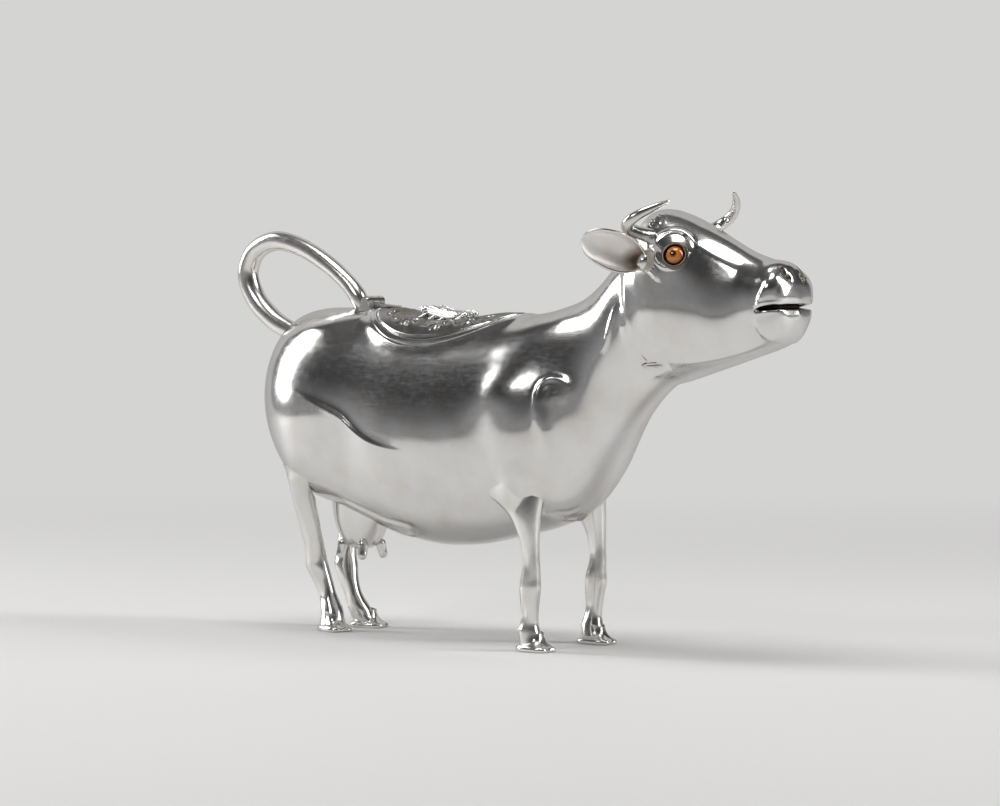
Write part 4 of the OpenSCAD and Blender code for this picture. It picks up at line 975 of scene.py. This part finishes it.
lid_top = rim_proud + lid_gap
lid_low = lid_top - lid_t
ledge_top, ledge_q, lid_q = lid_low - lid_gap, rim_w + ledge_w, rim_w + lid_gap
band([[0, -0.88], [0, -0.3], [0, 0.3], [0.16, 0.38], [0.5, rim_proud], [0.84, 0.36], [1, 0.2], [1, -0.2],
      [1, ledge_top], [1.4, ledge_top], [ledge_q, ledge_top], [ledge_q, ledge_top - 0.35],
      [ledge_q, ledge_top - 0.7], [1.1, ledge_top - 0.7], [0.4, ledge_top - 0.7]],
     "rim_bead", "polished_silver", "filler_rim")
flange_in, flange_mid, flange_out = ledge_q + 0.4, ledge_q + 0.75, ledge_q + 1.1
band([[flange_in, lid_low - flange_h], [flange_in, lid_low - flange_h / 2], [flange_in, lid_low - 0.02],
      [flange_mid, lid_low - 0.02], [flange_out, lid_low - 0.02], [flange_out, lid_low - flange_h / 2],
      [flange_out, lid_low - flange_h], [flange_mid, lid_low - flange_h]],
     "lid_flange_strip", "inner_silver", "lid_flange", body="lid")


def dish(r):
    """Depth of the lid's hollow at a share of the way out from its middle."""
    return lid_dip * np.maximum(0, 1 - (r / dip_share) ** 2) ** 2


def lid_face(t, r, h):
    """The lid's face at height h: rings at shares r of the way out, points at t radians."""
    t, r = t + 0 * r, r + 0 * t
    e = plan(t, lid_q + 0 * t)
    return back(hole_x + (e[..., 0] - hole_x) * r, e[..., 1] * r, h - dish(r))


def lid_normals(g, up, test):
    """Normals that point up, or down with up=-1. Ring number test shows which way they point at first."""
    n = grid_normals(g, close_cols=True)
    return n * up * np.sign(n[test, 0, 2])


LID_N = 288
lid_t_angles = np.linspace(0, 2 * np.pi, LID_N, endpoint=False)[None, :]
lid_rings = np.linspace(1, 0.004, 150)[:, None]
top = lid_face(lid_t_angles, lid_rings, lid_top)
low = lid_face(lid_t_angles, lid_rings[::6], lid_low)
chasing = Relief(top)


def on_lid(x, y):
    """Place on the lid's top from a place in plan, counted from the lid's middle."""
    d = (top[..., 0] - hole_x - x) ** 2 + (top[..., 1] - y) ** 2
    return top[np.unravel_index(d.argmin(), d.shape)]


def chase(points, width=0.22, depth=-0.17, ends=0.12):
    """A line chased on both sides of the lid."""
    for s in (1, -1):
        chasing.stroke(curve([on_lid(px, s * py) for px, py in points], 5), width, depth, ends)


def bloom(cx, cy, r, petals, turn):
    """A round flower: petals as small domes with a rim, round a button."""
    for s in (1, -1):
        def ray(a, shares):
            return [on_lid(cx + m * r * math.cos(a), s * (cy + m * r * math.sin(a))) for m in shares]

        c = on_lid(cx, s * cy)
        chasing.stroke([c, c + [0.02, 0, 0]], r * 0.24, 0.3, 0)
        for k in range(petals):
            a = turn + 2 * math.pi * k / petals
            chasing.stroke(ray(a, (0.42, 0.68, 0.92)), r * 0.26, 0.26, 0.0)
            chasing.stroke(ray(a + math.pi / petals, (0.4, 0.7, 1.0)), r * 0.11, -0.2, 0.0)


def chase_leaf(x0, y0, x1, y1, w):
    """A leaf with its vein, on both sides of the lid."""
    for s in (1, -1):
        q = curve([on_lid(x0 + (x1 - x0) * m, s * (y0 + (y1 - y0) * m)) for m in (0, 0.33, 0.66, 1)], 4)
        chasing.stroke(q, w, 0.24, 0.5)
        chasing.stroke(q, w * 0.2, -0.16, 0.3)


# Flowers by place, size, petals and turn; stalks by their points; leaves by their ends and width
FLOWERS = [(1.5, -6.1, 1.9, 6, 0.3), (-6.5, -5.9, 1.7, 6, 0), (9, -5, 1.5, 5, 0.5), (-13, -3.6, 1.3, 5, 0.2)]
STALKS = [
    [(-16.5, -0.6), (-15, -3.2), (-11.5, -5.8), (-9, -6.6)], [(-4.4, -5), (-2.6, -6.8), (-0.6, -7.3)],
    [(3.6, -5.2), (5.6, -6.4), (7.4, -5.9)], [(10.8, -4.4), (13.2, -3.4), (15.6, -1.4)]]
LEAVES = [
    (-10.6, -4.2, -8.6, -7.4, 0.55), (-3.9, -7.4, -2.3, -4.2, 0.6), (4.4, -7.2, 5.6, -4, 0.55),
    (11.6, -5.2, 13, -2.6, 0.5), (-15.6, -3.4, -13.4, -0.8, 0.5), (0.2, -3.6, 3.6, -3.4, 0.45),
    (-8.8, -3.4, -5.4, -3.2, 0.45)]
for flower in FLOWERS:
    bloom(*flower)
for stalk in STALKS:
    chase(stalk)
for leaf in LEAVES:
    chase_leaf(*leaf)
# Pricks of the matted ground between them
for k in range(54):
    px = -14.5 + 29 * k / 53
    py = 3.0 + 4.4 * math.sqrt(max(0, 1 - (px / 17) ** 2)) * (0.45 + 0.5 * ((k * GOLDEN) % 1))
    chase([(px, -py), (px + 0.5, -py - 0.1)], 0.16, -0.1, 0.0)


def lid():
    """The saddle: its chased top with a rounded edge, its side and its underside."""
    round_over = -0.28 * bell(np.linalg.norm(top - top[0:1], axis=-1), 0, 0.28)
    chased = top + lid_normals(top, 1, 40) * (0.6 * chasing.height + round_over)[..., None]
    side = np.array([chased[0] * (1 - k) + low[0] * k for k in (0.75, 0.5, 0.25)])
    g = np.concatenate([low[::-1], side, chased])
    side_n = np.repeat(unit(chased[0] - chased[4])[None], 3, 0)
    n = np.concatenate([lid_normals(low, -1, 10)[::-1], side_n, lid_normals(chased, 1, 40)])
    v, f = g.reshape(-1, 3), grid_faces(len(g), LID_N, close_cols=True)
    if face_normal(v, f[len(f) - LID_N * 20])[2] < 0:
        f = reversed_faces(f)
    f += [tuple(range(LID_N)), tuple(range(len(v) - LID_N, len(v)))]
    return v, f, n.reshape(-1, 3)


piece("lid_saddle", lid(), "chased_silver", "lid", body="lid")

fly_h = fly_l * 0.24
fly_x = hole_x - fly_l * 0.085
# Fly's body: place along it, radius and height. Its wing: place along, heights of the upper and lower edge
FLY = [
    [-0.4, 0.1, 0.24], [-0.37, 0.14, 0.27], [-0.32, 0.18, 0.28], [-0.27, 0.33, 0.26],
    [-0.17, 0.41, 0.29], [-0.06, 0.37, 0.26], [0, 0.27, 0.22], [0.11, 0.35, 0.23], [0.26, 0.31, 0.22],
    [0.36, 0.22, 0.22], [0.42, 0.13, 0.24], [0.45, 0.05, 0.26]]
WING = [
    [-0.27, 0.5, 0.34], [-0.255, 0.62, 0.26], [-0.225, 0.7, 0.2], [-0.17, 0.71, 0.16],
    [-0.08, 0.64, 0.13], [0.02, 0.57, 0.11], [0.12, 0.52, 0.1], [0.21, 0.49, 0.1], [0.27, 0.46, 0.12],
    [0.3, 0.38, 0.18]]
FLY_LEGS = (-0.28, -0.12, 0.06, 0.34)


def over_lid(x, y, z):
    """A place on the fly in shares of its length and height, over the lid's hollow."""
    at = fly_x + x * fly_l
    p = back(np.array(at), np.array(0.0), np.array(lid_top - dish(abs(at - hole_x) / (hole_l / 2))))
    return np.array([p[0], y * fly_h, p[2] + z * fly_h])


def wing(m=36):
    """A leaf of metal that leans out, with veins on both faces."""
    a = np.linspace(0, 2 * np.pi, m, endpoint=False)
    c, s = np.cos(a), np.sin(a)
    g = []
    for k, (x, high, low_edge) in enumerate(curve(WING, 7)):
        hi, lo = (over_lid(x, 0.56 + 0.35 * (x + 0.2) - 0.5 * (z - 0.4), z) for z in (high, low_edge))
        arm = (hi - lo) / 2
        out = unit(np.cross(arm, [-1, 0, 0]))
        vein = 0.02 * np.sin(c * 7 + 1 + k * 0.02) * (np.abs(c) < 0.8)
        g.append((hi + lo) / 2 + c[:, None] * arm + (s * 0.24 + np.sign(s) * vein)[:, None] * out)
    v, f, n = surface(np.array(g))
    return v, f + [tuple(range(m)), tuple(range(len(v) - m, len(v)))], n


def ball(x, y, z, r, n=18):
    return blob(over_lid(x, y, z), np.eye(3) * r, n)


def fly_leg(x):
    """A thin bent leg and its foot."""
    hip, foot = over_lid(x + 0.03, 0.2, 0.2), over_lid(x - 0.04, 0.95, -0.02)
    knee = (hip + foot) / 2 + [0, 0, 0.35]
    bent = tube(curve([[*hip, 0.22], [*knee, 0.2], [*foot, 0.22]], 6), 14)
    return [bent, blob(foot, np.diag([0.36, 0.3, 0.22]), 10)]


def fly():
    rows = [[*over_lid(x, 0, z), max(0.05, r) * fly_h] for x, r, z in curve(FLY, 6)]
    rings = tube(rows, 32, ref=(0, 1, 0),
                 shape=lambda t, a: 1 + 0.05 * np.maximum(0, np.sin(t * 62)) * (t > 0.5) * (t < 0.86))
    near_side = [wing(), ball(0.355, 0.34, 0.26, 0.52), ball(0.4, 0.22, 0.42, 0.4),
                 ball(-0.475, 0.15, 0.33, 0.3, 12)]
    for x in FLY_LEGS:
        near_side += fly_leg(x)
    far_side = [mirrored(k) for k in near_side]
    return join(rings, ball(-0.438, 0, 0.235, 0.95, 24), ball(0.47, 0, 0.26, 0.66), *far_side, *near_side)


piece("fly_cast", fly(), "fly_silver", "fly", body="lid")


# Eyes
def eye_material(name, side):
    """Amber glass, dark at the pupil and towards the rim."""
    nt, shader = new_material(name)
    hand = [1, side, 1]
    spoke = vector(nt, "SUBTRACT", here(nt), metres(eye_at - eye_dir * 0.55) * hand)
    facing = vector(nt, "DOT_PRODUCT", vector(nt, "NORMALIZE", spoke), eye_dir * hand, "Value")
    streak = calc(nt, "MULTIPLY", calc(nt, "SUBTRACT", noise(nt, 2600, 3.0, 0.6), 0.5), 0.05)
    color = ramp(nt, calc(nt, "ADD", facing, streak), [
        (0.30, (0.04, 0.01, 0.002)), (0.60, (0.30, 0.065, 0.006)), (0.80, (0.62, 0.17, 0.012)),
        (0.92, (0.72, 0.23, 0.015)), (0.955, (0.34, 0.08, 0.006)), (0.97, (0.05, 0.014, 0.003))])
    feed(nt, shader, {
        "Base Color": color, "Roughness": 0.06, "Coat Weight": 1.0, "Coat Roughness": 0.02, "IOR": 1.52})


GLASS = ("amber_glass_right", "amber_glass_left")
eye_material(GLASS[0], 1)
eye_material(GLASS[1], -1)
across_eye = unit(np.cross(eye_dir, [0, 0, 1]))
up_eye = np.cross(eye_dir, across_eye)
bead = blob(eye_at - eye_dir * 0.547, np.array([across_eye, up_eye, eye_dir]) * 1.95, 24)
both("eye_glass", bead, bead, GLASS, "eye")


def turned(profile, n=64):
    """A turned ring about the eye's axis from radius and height."""
    r, h = curve(np.array(profile + profile[:1]), 4)[:-1].T[..., None]
    a = np.linspace(0, 2 * np.pi, n, endpoint=False)[:, None, None]
    g = eye_at + np.cos(a) * across_eye * r + np.sin(a) * up_eye * r + eye_dir * h
    return surface(g, close_rows=True)


collet = turned([[1.42, -2.5], [2.68, -2.5], [2.68, -1], [2.68, 0.1], [2.6, 0.33], [2.36, 0.46],
                 [2.12, 0.46], [2, 0.3], [1.99, -0.4], [1.99, -1.8], [1.42, -1.88]])
both("eye_ring", collet, collet, "dark_silver_and_nostril_shade", "eye_collet")

# Hinge: the CAD's own pieces, in the same silver
for name in ("hinge_plate", "hinge_fixed_knuckles", "hinge_pin", "lid_hinge_leaf"):
    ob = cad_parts[name]
    ob.data.materials.clear()
    ob.data.materials.append(MATS["cast_silver"])

# Studio: pale paper that runs up behind the table, and four softboxes
CAMERA_TURN, CAMERA_LIFT, CAMERA_FAR = math.radians(40.0), math.radians(1.93), 0.700
PALE = 0.66
PALE_COLOR = (PALE, PALE * 0.995, PALE * 0.985, 1)
away = Vector((-math.sin(CAMERA_TURN), math.cos(CAMERA_TURN), 0))
right = Vector((math.cos(CAMERA_TURN), math.sin(CAMERA_TURN), 0))


def paper(color):
    """Matt paper that turns evenly pale far behind and around the object."""
    nt, shader = new_material("studio_floor")
    cloud = noise(nt, 3.0)
    feed(nt, shader, {"Base Color": ramp(nt, cloud, [(0.3, tuple(k * 0.985 for k in color)), (0.7, color)]),
                      "Roughness": 0.6})
    rays = nt.nodes.new("ShaderNodeLightPath").outputs
    seen = calc(nt, "ADD", rays["Is Camera Ray"], rays["Is Glossy Ray"])
    seen = calc(nt, "MINIMUM", calc(nt, "ADD", seen, rays["Is Transmission Ray"]), 1.0)

    def fade(value, start, end, weight):
        far = add_node(nt, "MapRange", {"From Min": start, "From Max": end, "Value": value},
                       interpolation_type="SMOOTHSTEP")
        return calc(nt, "MULTIPLY", far, weight)

    behind = fade(vector(nt, "DOT_PRODUCT", here(nt), away, "Value"), 0.02, 0.5, seen)
    around = fade(vector(nt, "LENGTH", here(nt), out="Value"), 0.2, 0.7, rays["Is Camera Ray"])
    glow = add_node(nt, "Emission", {"Color": PALE_COLOR})
    mix = add_node(nt, "MixShader", {0: calc(nt, "MAXIMUM", behind, around), 1: shader.outputs[0], 2: glow})
    feed(nt, nt.nodes["Material Output"], {"Surface": mix})


def link(name, data):
    ob = bpy.data.objects.new(name, data)
    bpy.context.scene.collection.objects.link(ob)
    return ob


def table():
    """The floor, 2.6 m wide, and the backdrop that it bends up into."""
    bend = [(0.85 + 0.4 * math.sin(t), 0.4 - 0.4 * math.cos(t)) for t in np.linspace(0, math.pi / 2, 24)]
    profile = [(-1.2, 0.0), (-0.3, 0.0), (0.3, 0.0)] + bend + [(1.25, 1.8)]
    me = bpy.data.meshes.new("floor")
    me.from_pydata([right * s + away * d + Vector((0, 0, z)) for d, z in profile for s in (-1.3, 1.3)], [],
                   [(2 * k, 2 * k + 1, 2 * k + 3, 2 * k + 2) for k in range(len(profile) - 1)])
    me.polygons.foreach_set("use_smooth", [True] * len(me.polygons))
    me.materials.append(MATS["studio_floor"])
    link("floor", me)


def softbox(name, turn, lift, far, size, energy):
    """A softbox at an angle to the right of the camera and an angle above the table."""
    t, e = CAMERA_TURN + math.radians(turn - 90), math.radians(lift)
    lamp = bpy.data.lights.new(name, "AREA")
    lamp.shape = "RECTANGLE"
    lamp.size, lamp.size_y = size
    lamp.energy = energy
    ob = link(name, lamp)
    toward = Vector((math.cos(t) * math.cos(e), math.sin(t) * math.cos(e), math.sin(e)))
    ob.location = Vector((0, 0, 0.045)) + toward * far
    ob.rotation_euler = (-toward).to_track_quat("-Z", "Y").to_euler()


def room():
    """What the silver mirrors: paler below and overhead, dark between. The camera sees the pale ground."""
    world = bpy.data.worlds.new("studio")
    bpy.context.scene.world = world
    world.use_nodes = True
    nt = world.node_tree
    split = nt.nodes.new("ShaderNodeSeparateXYZ")
    feed(nt, split, {0: add_node(nt, "TexCoord", out="Generated")})
    height = add_node(nt, "MapRange", {"From Min": -1, "From Max": 1, "Value": split.outputs["Z"]})
    stops = [(0.0, 0.2), (0.48, 0.32), (0.53, 0.27), (0.60, 0.14), (0.69, 0.045), (0.86, 0.05), (1.0, 0.16)]
    feed(nt, nt.nodes["Background"], {"Color": ramp(nt, height, [(p, (c, c, c * 1.02)) for p, c in stops])})
    seen = add_node(nt, "LightPath", out="Is Camera Ray")
    pale = add_node(nt, "Background", {"Color": PALE_COLOR})
    mix = add_node(nt, "MixShader", {0: seen, 1: nt.nodes["Background"].outputs[0], 2: pale})
    feed(nt, nt.nodes["World Output"], {"Surface": mix})


def photo_camera():
    """The camera as fitted to the photograph, whose width in pixels goes with the focal length."""
    sensor, photo_w, focal_px = 36.0, 1000, 3430
    target = Vector(((45.0 - MID) / 1000, 0.01588, 0.04669))
    toward = -away * math.cos(CAMERA_LIFT) + Vector((0, 0, math.sin(CAMERA_LIFT)))
    camera = bpy.data.cameras.new("camera")
    camera.sensor_width = sensor
    camera.lens = focal_px / photo_w * sensor
    ob = link("camera", camera)
    ob.location = target + toward * CAMERA_FAR
    ob.rotation_euler = (-toward).to_track_quat("-Z", "Y").to_euler()
    bpy.context.scene.camera = ob


paper((0.76, 0.755, 0.745))
table()
softbox("window_left", -112, 24, 0.70, (0.17, 0.46), 2.7)
softbox("window_front", -46, 38, 0.60, (0.15, 0.11), 0.5)
softbox("window_right", 78, 30, 0.70, (0.15, 0.62), 2.6)
softbox("overhead", -20, 84, 0.85, (0.5, 0.36), 3.0)
room()
photo_camera()
bpy.context.scene.view_settings.view_transform = "Standard"
